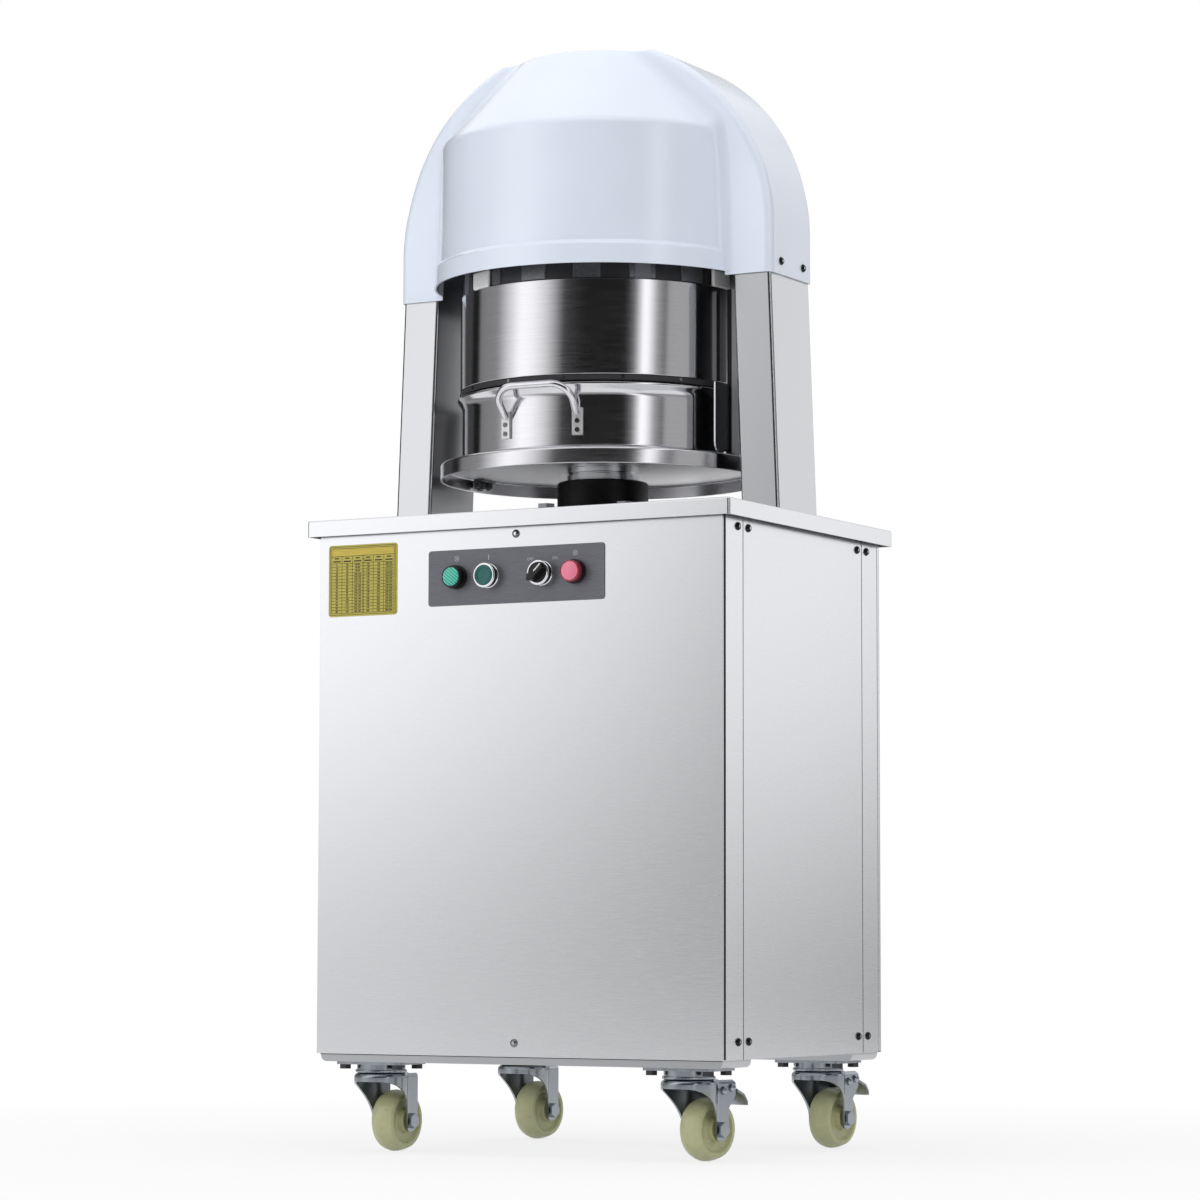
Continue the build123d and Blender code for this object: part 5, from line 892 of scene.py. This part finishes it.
class DressControls(bpy.types.Operator):
    """The control plate, lamps, start button and selector"""

    bl_idname = "divider.controls"
    bl_label = "Controls"

    lens_rim = 1.8
    lens_dish = 0.7
    lever_half, lever_width, lever_tip = 14.0, 4.5, 5.0
    line_depth, line_proud = 0.2, 0.12
    # words stand this far beside and above the selector, signs this far below the plate's top
    word_height, word_side, word_rise, sign_drop = 5.0, 17.0, 17.5, 11.0
    sign_radius, sign_stroke, sign_depth = 3.2, 0.6, 0.12

    def execute(self, context):
        control = settings("control")
        steps = settings("turned").small_steps
        plate = printed_metal("dark printed plate", control.plate, 0.42, 0.8)
        piece("control_plate_sheet", "control_plate", softened("control_plate", 0.25), plate)
        plastic = settings("moulded").black_plastic
        black = moulded_plastic("black device plastic", plastic, 0.38)
        dress(black, "switch_bodies", "cable_gland")
        ring = moulded_plastic("black lamp ring", plastic, 0.35, 0.8, 0.004)
        # painted shade: the side of the red lens is a darker copy of its colour
        red_side_shade = lamp_lens("red lamp side in painted shade", control.red_side_painted_shade, 0.05)
        self.lens("green_lamp_lens", control.green_lens, 0.45, ring, steps)
        self.lens("red_lamp_lens", control.red_lens, 0.06, red_side_shade, steps)
        self.bezels(ring, steps)
        self.button(control, steps)
        self.selector(control, black, steps)
        self.marks(control)
        return {"FINISHED"}

    def lens(self, node, tone, ribs, side, steps):
        """A lamp: a coloured face, shallow and domed, set in a rim with straight sides."""
        low, high = low_high(node)
        radius, depth = (high.x - low.x) / 2, high.y - low.y
        face, dish = radius - self.lens_rim, self.lens_dish
        profile = [
            (0, 0, 0), (radius, 0, 0.2), (radius, depth - 0.8, 0.9), (face + 0.5, depth - 0.3, 0.3),
            (face, depth - dish, 0.2), (0, depth, 0),
        ]
        cap = second_finish(
            spun(profile, steps, False), lambda centre, normal: centre.xy.length > face - 0.1
        )
        spokes = [e for e in cap.edges if min(v.co.xy.length for v in e.verts) < 0.1 and e.calc_length() > 5]
        bmesh.ops.subdivide_edges(cap, edges=spokes, cuts=6)
        for vert in cap.verts:
            share = vert.co.xy.length / face
            if vert.co.z > depth - dish - 0.05 and share < 1:
                vert.co.z = depth - dish * share ** 2
        glass = lamp_lens(node.replace("_", " "), tone, ribs)
        piece(node + "_cap", node, moved(cap, on_front(node)), glass, side)

    def bezels(self, black, steps):
        """Plated rings with a black waist between two bright rims."""
        low, high = low_high("button_bezels")
        depth, radius = high.y - low.y, (high.z - low.z) / 2
        bore, waist = radius - 2.9, radius - 1.3
        profile = [
            (bore, 0, 0), (radius, 0, 0.4), (radius, 2.4, 0.6), (waist, 3.2, 0.5), (waist, depth - 3.2, 0.5),
            (radius, depth - 2.6, 0.5), (radius, depth - 0.9, 0.6), (radius - 1.1, depth, 0.5),
            (bore, depth, 0.4),
        ]
        ring = second_finish(
            spun(profile, steps),
            lambda centre, normal: 3.1 < centre.z < depth - 3.1 and centre.xy.length > waist - 0.7,
        )
        middle = (low.z + high.z) / 2
        places = [facing_front(x, high.y, middle) for x in (low.x + radius, high.x - radius)]
        chrome = polished_metal("bright chrome plate", settings("steel").chrome, 0.08)
        piece("bezel_rings", "button_bezels", copies(ring, places), chrome, black)

    def button(self, control, steps):
        """The dished start cap on its stem."""
        low, high = low_high("start_button")
        radius, depth = (high.x - low.x) / 2, high.y - low.y
        stem, skirt = 4.5, depth - 6.5
        profile = [
            (0, 0, 0), (stem, 0, 0.4), (stem, skirt, 0.4), (radius, skirt, 0.4), (radius, depth, 1.2),
            (radius - 2.2, depth, 0.6), (radius - 3.4, depth - 0.7, 1.0), (0, depth - 1.0, 0),
        ]
        green = moulded_plastic("dark green button plastic", control.green_cap, 0.25, 1.5, 0.006)
        cap = moved(spun(profile, steps, False), on_front("start_button"))
        piece("start_cap", "start_button", cap, green)

    def selector(self, control, black, steps):
        """The selector: a domed base, a waisted lever with a pointed end and a white line."""
        centre = centre_of("selector_knob")
        bezel_face = low_high("button_bezels")[0].y
        back = low_high("control_plate")[0].y - 1.0
        depth = back - bezel_face
        reach = bezel_face - low_high("selector_knob")[0].y - self.line_proud
        base = spun([(0, 0, 0), (11.9, 0, 0), (11.9, depth, 0.8), (0, depth + 0.3, 0)], steps, False)
        half, width, tip = self.lever_half, self.lever_width, self.lever_tip
        outline = [
            (-half, 0), (-half + tip, -width), (half - 2, -width), (half, -width + 2),
            (half, width - 2), (half - 2, width), (-half + tip, width),
        ]
        lever = bmesh.new()
        face = lever.faces.new([lever.verts.new((x, y, depth)) for x, y in outline])
        grown = bmesh.ops.extrude_face_region(lever, geom=[face])
        top = [v for v in grown["geom"] if isinstance(v, bmesh.types.BMVert)]
        bmesh.ops.translate(lever, verts=top, vec=(0, 0, reach))
        upper = [e for e in outward(lever).edges if all(v in top for v in e.verts)]
        rounded(lever, upper, 1.1, 3)
        place = facing_front(centre.x, back, centre.z) @ rotation(radians(45))
        piece("selector_lever", "selector_knob", moved(gathered([base, lever]), place), black)
        line_middle = depth + reach + self.line_proud - self.line_depth / 2
        line = bar((half - 1.5, 1.3, self.line_depth), (half / 2 + 0.2, 0, line_middle), 0.05)
        white = ink("white pointer line", control.pointer)
        extra("selector_line", "selector_knob", moved(line, place), white)

    def marks(self, control):
        """Plain words and signs beside the devices."""
        low, high = low_high("control_plate")
        face, top = low.y, high.z - self.sign_drop
        knob = centre_of("selector_knob")
        outer, stroke, depth = self.sign_radius, self.sign_stroke, self.sign_depth
        inner = outer - stroke
        parts = [bar((2 * stroke, depth, 6.0), (centre_of("start_button").x, face, top))]
        for word, side in (("OFF", -1), ("ON", 1)):
            place = (knob.x + side * self.word_side, face, knob.z + self.word_rise)
            parts.append(lettering(word, self.word_height, place))
        for node in ("green_lamp_lens", "red_lamp_lens"):
            x = centre_of(node).x
            ring = [(inner, 0, 0), (outer, 0, 0), (outer, depth / 2, 0), (inner, depth / 2, 0)]
            parts.append(moved(spun(ring, 32), facing_front(x, face, top)))
            for angle in (45, -45):
                cross = bar((5.4, depth, stroke), (0, 0, 0))
                parts.append(moved(cross, Matrix.Translation((x, face, top)), rotation(radians(angle), "Y")))
        extra("control_marks", "control_plate", gathered(parts), ink("white screen ink", control.ink))


class DressChart(bpy.types.Operator):
    """The gold chart plate with ruled lines and plain numbers"""

    bl_idname = "divider.chart"
    bl_label = "Chart plate"

    margin = 4.2
    frame_gap = 2.0
    title_height = 9.5
    heads_height = 9.0
    line_width, line_depth = 0.55, 0.12
    # bars in each column's head: share of its width, height over the first row, thickness
    head_bars = ((0.4, 6.4, 1.5), (0.7, 2.6, 1.7))

    def execute(self, context):
        control = settings("control")
        gold = printed_metal("gold anodised plate", control.chart, 0.4, 1.0)
        piece("chart_sheet", "chart_plate", softened("chart_plate", 0.2), gold)
        low, high = low_high("chart_plate")
        left, right = low.x + self.margin, high.x - self.margin
        bottom, top = low.z + self.margin, high.z - self.margin
        middle, face = (left + right) / 2, low.y
        title = top - self.title_height
        heads = title - self.heads_height
        band = bar((right - left, 0.06, self.title_height), (middle, face, (top + title) / 2))
        bright = printed_metal("bright gold band", control.band, 0.4, 1.0)
        extra("chart_band", "chart_plate", band, bright)

        def level(start, end, z, thick=self.line_width):
            """A printed bar across the plate."""
            return bar((end - start, self.line_depth, thick), ((start + end) / 2, face, z))

        def upright(x, start, end):
            """A printed line up the plate."""
            return bar((self.line_width, self.line_depth, end - start), (x, face, (start + end) / 2))

        rows, columns = control.chart_rows, control.chart_columns
        pitch, width = (heads - bottom) / rows, (right - left) / columns
        levels = [top, title] + [heads - pitch * row for row in range(rows + 1)]
        parts = [level(left, right, z) for z in levels]
        gap = self.frame_gap
        parts += [level(left - gap, right + gap, z) for z in (top + gap, bottom - gap)]
        parts += [upright(x, bottom - gap, top + gap) for x in (left - gap, right + gap)]
        parts += [upright(x, bottom, top) for x in (left, right)]
        parts += [upright(left + width * column, bottom, title) for column in range(1, columns)]
        parts.append(upright(middle + 1.5, bottom, title))
        for column in range(columns):
            x = left + width * (column + 0.5)
            for share, rise, thick in self.head_bars:
                half = width * share / 2
                parts.append(level(x - half, x + half, heads + rise, thick))
            for row in range(rows):
                number = str((row + 1) * 5 + 40 * column)
                if column % 3 == 2:
                    number += "-" + number
                parts.append(lettering(number, pitch * 0.8, (x, face, heads - pitch * (row + 0.5)), 0.14))
        extra("chart_print", "chart_plate", gathered(parts), ink("dark chart ink", control.chart_ink))
        return {"FINISHED"}


class DressCasters(bpy.types.Operator):
    """Plates, forks, wheels, axles and brake pedals of the casters"""

    bl_idname = "divider.casters"
    bl_label = "Casters"

    ear_face = 22.2
    rivet_places = ((52.0, 86.0), (37.0, 83.0))

    def execute(self, context):
        steel, fineness = settings("steel"), settings("turned")
        zinc = zinc_plate("blue zinc plate", steel.zinc)
        # painted shade: the fork's inside faces get a darker copy of the zinc
        shade = zinc_plate("rougher zinc inside in painted shade", toned(steel.zinc, 0.5), 0.4)
        nylon = cast_nylon("cream cast nylon", settings("moulded").nylon)
        piece("caster_plate_sheets", "caster_plates", softened("caster_plates", 0.6), zinc)
        for name in CASTERS:
            self.fork(name, zinc, shade)
            piece(name + "_axle_bolt", name + "_axle", softened(name + "_axle", 0.6), zinc)
            self.wheel(name, nylon, fineness.small_steps)
        for name in BRAKED_CASTERS:
            pedal = name + "_brake_pedal"
            piece(name + "_pedal_pressing", pedal, softened(pedal, 0.8), zinc)
            self.rivets(name, zinc, fineness.tiny_steps)
        return {"FINISHED"}

    def rest(self, name):
        """Where a caster's pivot stands, and how far it is swivelled at rest."""
        axis = JOINTS[name + "_wheel_roll"]["axis"]
        return Vector(JOINTS[name + "_swivel_turn"]["pos_m"]) / MM, atan2(axis[1], axis[0])

    def fork(self, name, zinc, shade):
        """A pressed fork, rougher inside than outside and darker there as painted shade."""
        pivot, turn = self.rest(name)
        node = name + "_fork"
        back = Matrix.Rotation(-turn, 3, "Z")
        roof = low_high(node)[1].z - 6.0

        def inside(centre, normal):
            """True for faces that look at the wheel or the fork's own middle."""
            across, facing = (back @ (centre - pivot)).x, (back @ normal).x
            return across * facing < -4.0 or (normal.z < -0.7 and centre.z > roof)

        piece(node + "_pressing", node, second_finish(softened(node, 1.0), inside), zinc, shade)

    def rivets(self, name, zinc, steps):
        """Domed rivet heads on the ears of a braked fork."""
        pivot, turn = self.rest(name)
        dome = spun([(0, 0, 0), (5.0, 0, 0), (4.7, 2.6, 1.2), (2.6, 4.2, 1.2), (0, 4.6, 0)], steps, False)
        place = Matrix.Translation((pivot.x, pivot.y, 0)) @ rotation(turn)
        places = []
        for side in (-1, 1):
            for y, z in self.rivet_places:
                spot = Matrix.Translation((side * self.ear_face, y, z))
                places.append(place @ spot @ rotation(side * pi / 2, "Y"))
        extra(name + "_rivet_heads", name + "_fork", copies(dome, places), zinc)

    def wheel(self, name, nylon, steps):
        """A moulded wheel: barrel tread, rounded shoulders, dished sides and a hub."""
        low, high = low_high(name + "_wheel")
        radius = (high.z - low.z) / 2
        half, hub, dish = 16.0, 18.5, 10.0
        side = [
            (radius, 7.0, 9.0), (radius - 4.5, half - 1.2, 3.0), (28.0, half, 1.0), (25.0, dish, 2.0),
            (15.0, dish, 2.0), (13.0, hub, 0.6), (5.05, hub, 0.4),
        ]
        profile = side + [(r, -z, rounding) for r, z, rounding in reversed(side)]
        place = Matrix.Translation((low + high) / 2)
        turn = rotation(self.rest(name)[1])
        solid = moved(spun(profile, steps), place, turn, rotation(pi / 2, "Y"))
        piece(name + "_tyre", name + "_wheel", solid, nylon)


class DressFasteners(bpy.types.Operator):
    """Screws and bolts"""

    bl_idname = "divider.fasteners"
    bl_label = "Fasteners"

    steps_off = (-13.4, 13.4)
    side_heights = (140.9, 744.2)
    front_heights = (136.4, 745.4)
    hood_height = 1083.0
    hood_y = 30.0
    socket = 2.1

    def execute(self, context):
        steel = settings("steel")
        plated = polished_metal("nickel-plated screw steel", steel.fastener, 0.2)
        dress(plated, "cover_screws", "bed_bolts", "tray_bolts", "gasket_screws")
        dress(polished_metal("blackened bolt steel", steel.dark_bolt, 0.25), "caster_bolts")
        self.heads(steel)
        return {"FINISHED"}

    def heads(self, steel):
        """Domes over the heads of the cover screws, dark on the sides as painted shade, with a bright socket
        as a painted glint.
        """
        socket = self.socket
        profile = [
            (0, 2.9, 0), (socket, 2.9, 0), (socket, 3.4, 0), (3.4, 2.9, 1.0), (4.8, 1.4, 1.0), (5.1, 0, 0),
        ]
        dome = second_finish(
            spun(profile, settings("turned").tiny_steps, False),
            lambda centre, normal: centre.xy.length < socket - 0.05,
        )
        low, high = low_high("front_panel")
        seam = low_high("right_side_panel")[1].y + SEAM / 2
        rows = [end * seam + step for end in (-1, 1) for step in self.steps_off]
        spots = [(high.x, y, z) for y in rows for z in self.side_heights]
        spots += [(low_high("hood")[1].x, y, self.hood_height) for y in (-self.hood_y, self.hood_y)]
        sides, fronts = [], []
        for side in (-1, 1):
            out = Matrix.Diagonal((side, 1, 1, 1)) @ rotation(pi / 2, "Y")
            sides += [Matrix.Translation((side * x, y, z)) @ out for x, y, z in spots]
            face = Matrix.Diagonal((1, -side, 1, 1)) @ rotation(pi / 2, "X")
            fronts += [Matrix.Translation((0, side * -low.y, z)) @ face for z in self.front_heights]
        # painted light and shade: bright sockets for a glint, dark domes on the sides for shade
        bright = polished_metal("socket brightened as a painted glint", steel.bright, 0.15)
        black = polished_metal("screw steel darkened as painted shade", toned(steel.dark_bolt, 0.35), 0.18)
        grey = polished_metal("nickel-plated screw", steel.fastener, 0.12)
        extra("side_screw_heads", "cover_screws", outward(copies(dome, sides)), black, bright)
        extra("front_screw_heads", "cover_screws", outward(copies(dome, fronts)), grey, bright)


class DressMachinery(bpy.types.Operator):
    """What stands inside the cabinet"""

    bl_idname = "divider.machinery"
    bl_label = "Inside the cabinet"

    def execute(self, context):
        moulded = settings("moulded")
        dress(moulded_plastic("grey enclosure plastic", moulded.box, 0.5), "electric_box")
        dress(painted_steel("tank enamel", moulded.tank, 0.4), "oil_tank")
        dress(painted_steel("motor enamel", moulded.motor, 0.38), "pump_motor")
        alloy = cast_metal("machined alloy", settings("steel").alloy, 0.35, 0.8, 0.01)
        dress(alloy, "gear_pump", "valve_block")
        dress(moulded_plastic("black hose rubber", moulded.hose, 0.6, 1.0, 0.03), "pressure_hose")
        return {"FINISHED"}


class SetStage(bpy.types.Operator):
    """The floor, white room, lamps, cloth wall and camera"""

    bl_idname = "divider.stage"
    bl_label = "Studio"

    floor_radius = 12.0
    # share of white at two distances from the machine
    floor_fade = {"From Min": 0.4, "From Max": 1.6, "To Min": 0.78, "To Max": 1.0}
    lamp_distance = 3.0
    # name, degrees to the right of the camera, height in metres, width and length in metres
    side_lamps = (
        ("left_lamp", -65, 1.2, (2.0, 2.6)), ("right_lamp", 34, 1.2, (0.75, 2.4)),
        ("front_lamp", -8, 0.5, (1.2, 1.2)),
    )
    top_lamp_place, top_lamp_size = (0.0, -0.4, 3.4), (2.6, 2.6)
    wall_distance, wall_height = 2.6, 2.6
    # degrees to the right of the camera and brightness of the cloth there
    wall_tones = (
        (-180, 0.45), (-166, 0.06), (-128, 0.06), (-125, 0.01), (-116, 0.01), (-113, 0.24), (-91, 0.3),
        (-78, 0.85), (-67, 1.35), (-56, 1.22), (-45, 0.82), (-31, 0.05), (-14, 0.01), (18, 0.01),
        (24, 0.15), (28, 0.7), (31, 1.5), (35, 1.35), (38, 0.95), (42, 0.42), (49, 0.16), (52, 0.45),
        (74, 0.45), (76, 0.18), (80, 0.08), (84, 0.01), (98, 0.01), (108, 0.9), (120, 1.1), (127, 1.0),
        (135, 0.6), (162, 0.5),
    )
    # brightness at two heights, and the least that is left near the floor
    wall_rise = {"From Min": -0.3, "From Max": 0.9, "To Min": 0.34, "To Max": 1.08}
    wall_skirting = {"From Min": 0.5, "From Max": 0.9, "To Min": 0.42, "To Max": 0.0}
    # lean of the cloth's stripes in degrees to the metre, and the height where they are in place
    wall_lean, wall_upright_at = 10.0, 1.38

    def execute(self, context):
        scene, studio = context.scene, settings("studio")
        scene.view_settings.view_transform = "Standard"
        self.room(scene, studio)
        self.floor(scene, studio)
        self.lamps(scene, studio)
        self.wall(scene, studio)
        self.camera(scene, studio)
        return {"FINISHED"}

    def seen(self, tree):
        """One where the eye, a reflection or a see-through piece looks at the room."""
        path = add_node(tree, "ShaderNodeLightPath").outputs
        direct = {0: path["Is Camera Ray"], 1: path["Is Glossy Ray"]}
        either = add_node(tree, "ShaderNodeMath", direct, operation="MAXIMUM")
        through = {0: either.outputs[0], 1: path["Is Transmission Ray"]}
        return add_node(tree, "ShaderNodeMath", through, operation="MAXIMUM").outputs[0]

    def bare_tree(self, holder):
        """The emptied node tree of a new material or world."""
        holder.use_nodes = True
        holder.node_tree.nodes.clear()
        return holder.node_tree

    def room(self, scene, studio):
        """A white room that lights dull surfaces evenly."""
        scene.world = bpy.data.worlds.new("white room")
        tree = self.bare_tree(scene.world)
        dull = add_node(tree, "ShaderNodeBackground", {"Color": (1, 1, 1, 1), "Strength": studio.room_light})
        white = add_node(tree, "ShaderNodeBackground", {"Color": (1, 1, 1, 1), "Strength": 1.0})
        mixed = add_node(
            tree, "ShaderNodeMixShader", {0: self.seen(tree), 1: dull.outputs[0], 2: white.outputs[0]}
        )
        add_node(tree, "ShaderNodeOutputWorld", {"Surface": mixed.outputs[0]})

    def floor(self, scene, studio):
        """A pale floor that fades into the white room and keeps a soft shadow."""
        material = bpy.data.materials.new("pale studio floor")
        tree = self.bare_tree(material)
        dull = add_node(tree, "ShaderNodeBsdfDiffuse", {"Color": (*studio.floor_colour, 1)})
        white = add_node(tree, "ShaderNodeEmission", {"Color": (1, 1, 1, 1), "Strength": 1.0})
        where = add_node(tree, "ShaderNodeTexCoord")
        reach = add_node(tree, "ShaderNodeVectorMath", {0: where.outputs["Object"]}, operation="LENGTH")
        fade = add_node(
            tree, "ShaderNodeMapRange", {"Value": reach.outputs["Value"], **self.floor_fade}
        )
        amount = add_node(
            tree, "ShaderNodeMath", {0: self.seen(tree), 1: fade.outputs["Result"]}, operation="MULTIPLY"
        )
        mixed = add_node(
            tree, "ShaderNodeMixShader", {0: amount.outputs[0], 1: dull.outputs[0], 2: white.outputs[0]}
        )
        add_node(tree, "ShaderNodeOutputMaterial", {"Surface": mixed.outputs[0]})
        bm = bmesh.new()
        bmesh.ops.create_circle(bm, cap_ends=True, radius=self.floor_radius, segments=64)
        self.stage_piece(scene, "floor", bm, material)

    def stage_piece(self, scene, name, bm, material):
        """Adds an object that belongs to the studio."""
        mesh = bpy.data.meshes.new(name)
        bm.to_mesh(mesh)
        bm.free()
        mesh.materials.append(material)
        made = bpy.data.objects.new(name, mesh)
        scene.collection.objects.link(made)
        return made

    def aimed(self, scene, name, data, place, turn):
        """Adds a lamp or camera at a place, with a turn."""
        made = bpy.data.objects.new(name, data)
        made.location = place
        made.rotation_mode = "QUATERNION"
        made.rotation_quaternion = turn
        scene.collection.objects.link(made)
        return made

    def lamps(self, scene, studio):
        """Three soft lamps by the camera and one overhead, each aimed at the machine."""
        middle = Vector((0, 0, (CAD_BOX[0].z + CAD_BOX[1].z) / 2))
        places = []
        for name, degrees, height, size in self.side_lamps:
            angle = studio.camera_turn + radians(degrees)
            place = Vector((sin(angle) * self.lamp_distance, -cos(angle) * self.lamp_distance, height))
            places.append((name, place, size))
        places.append(("top_lamp", Vector(self.top_lamp_place), self.top_lamp_size))
        for name, place, size in places:
            lamp = bpy.data.lights.new(name, "AREA")
            lamp.shape = "RECTANGLE"
            lamp.size, lamp.size_y = size
            lamp.energy = getattr(studio, name) * pi * size[0] * size[1]
            made = self.aimed(scene, name, lamp, place, (middle - place).to_track_quat("-Z", "Y"))
            made.visible_glossy = False

    def wall(self, scene, studio):
        """A ring of bright and dark cloth round the machine that shows only in reflections."""
        material = bpy.data.materials.new("studio cloth")
        tree = self.bare_tree(material)
        where = add_node(tree, "ShaderNodeTexCoord").outputs["Object"]
        behind_camera = (0, 0, pi / 2 - studio.camera_turn)
        facing = add_node(tree, "ShaderNodeMapping", {"Vector": where, "Rotation": behind_camera})
        ring = add_node(
            tree, "ShaderNodeTexGradient", {"Vector": facing.outputs["Vector"]}, gradient_type="RADIAL"
        )
        height = add_node(tree, "ShaderNodeSeparateXYZ", {"Vector": where}).outputs["Z"]
        lean = {0: height, 1: -self.wall_lean / 360, 2: ring.outputs["Fac"]}
        leaned = add_node(tree, "ShaderNodeMath", lean, operation="MULTIPLY_ADD")
        upright = 0.5 - self.wall_lean * self.wall_upright_at / 360
        stops = [(upright + angle / 360, (tone, tone, tone)) for angle, tone in self.wall_tones]
        tone = add_node(tree, "ShaderNodeValToRGB", {"Fac": leaned.outputs[0]}, stops)
        rise, skirting = [
            add_node(tree, "ShaderNodeMapRange", {"Value": height, **span}, interpolation_type="SMOOTHSTEP")
            for span in (self.wall_rise, self.wall_skirting)
        ]
        either = {0: tone.outputs["Color"], 1: skirting.outputs["Result"]}
        lifted = add_node(tree, "ShaderNodeMath", either, operation="MAXIMUM")
        glow = add_node(
            tree, "ShaderNodeEmission", {"Color": lifted.outputs[0], "Strength": rise.outputs["Result"]}
        )
        add_node(tree, "ShaderNodeOutputMaterial", {"Surface": glow.outputs[0]})
        bm = bmesh.new()
        foot = Vector((self.wall_distance, 0, 0.01))
        edge = bm.edges.new([bm.verts.new(foot), bm.verts.new(foot + Vector((0, 0, self.wall_height)))])
        bmesh.ops.spin(
            bm, geom=[edge, *edge.verts], axis=(0, 0, 1), cent=(0, 0, 0), angle=tau, steps=96, use_merge=True
        )
        cloth = self.stage_piece(scene, "cloth_wall", bm, material)
        cloth.visible_camera = False
        cloth.visible_diffuse = False
        cloth.visible_shadow = False
        cloth.visible_transmission = False

    def camera(self, scene, studio):
        """The camera at the photograph's viewing angle."""
        lens = bpy.data.cameras.new("camera")
        lens.lens = studio.lens
        lens.sensor_width = 36.0
        lens.clip_start, lens.clip_end = 0.1, 100.0
        turn, rise = studio.camera_turn, studio.camera_rise
        ahead = Vector((-sin(turn) * cos(rise), cos(turn) * cos(rise), sin(rise)))
        aim = ahead.to_track_quat("-Z", "Y") @ Quaternion((0, 0, 1), studio.camera_roll)
        scene.camera = self.aimed(scene, "camera", lens, studio.camera_place, aim)


SETTINGS = {
    "divider_studio": StudioSettings,
    "divider_steel": SteelSettings,
    "divider_moulded": MouldedSettings,
    "divider_control": ControlSettings,
    "divider_turned": TurnedSettings,
}
OPERATORS = (
    DressCabinet, DressHood, DressHead, DressLift, DressPan, DressControls, DressChart, DressCasters,
    DressFasteners, DressMachinery, SetStage,
)


class DividerPanel(bpy.types.Panel):
    """Lists the steps that dress the divider"""

    bl_idname = "VIEW3D_PT_divider"
    bl_label = "Dough divider"
    bl_space_type = "VIEW_3D"
    bl_region_type = "UI"
    bl_category = "Divider"

    def draw(self, context):
        for operator in OPERATORS:
            self.layout.operator(operator.bl_idname)
        for name, group in SETTINGS.items():
            box = self.layout.box()
            for each in group.__annotations__:
                box.prop(getattr(context.scene, name), each)


def register():
    for each in (*SETTINGS.values(), *OPERATORS, DividerPanel):
        bpy.utils.register_class(each)
    for name, group in SETTINGS.items():
        setattr(bpy.types.Scene, name, bpy.props.PointerProperty(type=group))


def unregister():
    for name in SETTINGS:
        delattr(bpy.types.Scene, name)
    for each in reversed((*SETTINGS.values(), *OPERATORS, DividerPanel)):
        bpy.utils.unregister_class(each)


def main():
    register()
    for operator in OPERATORS:
        group, step = operator.bl_idname.split(".")
        getattr(getattr(bpy.ops, group), step)()


if __name__ == "__main__":
    main()
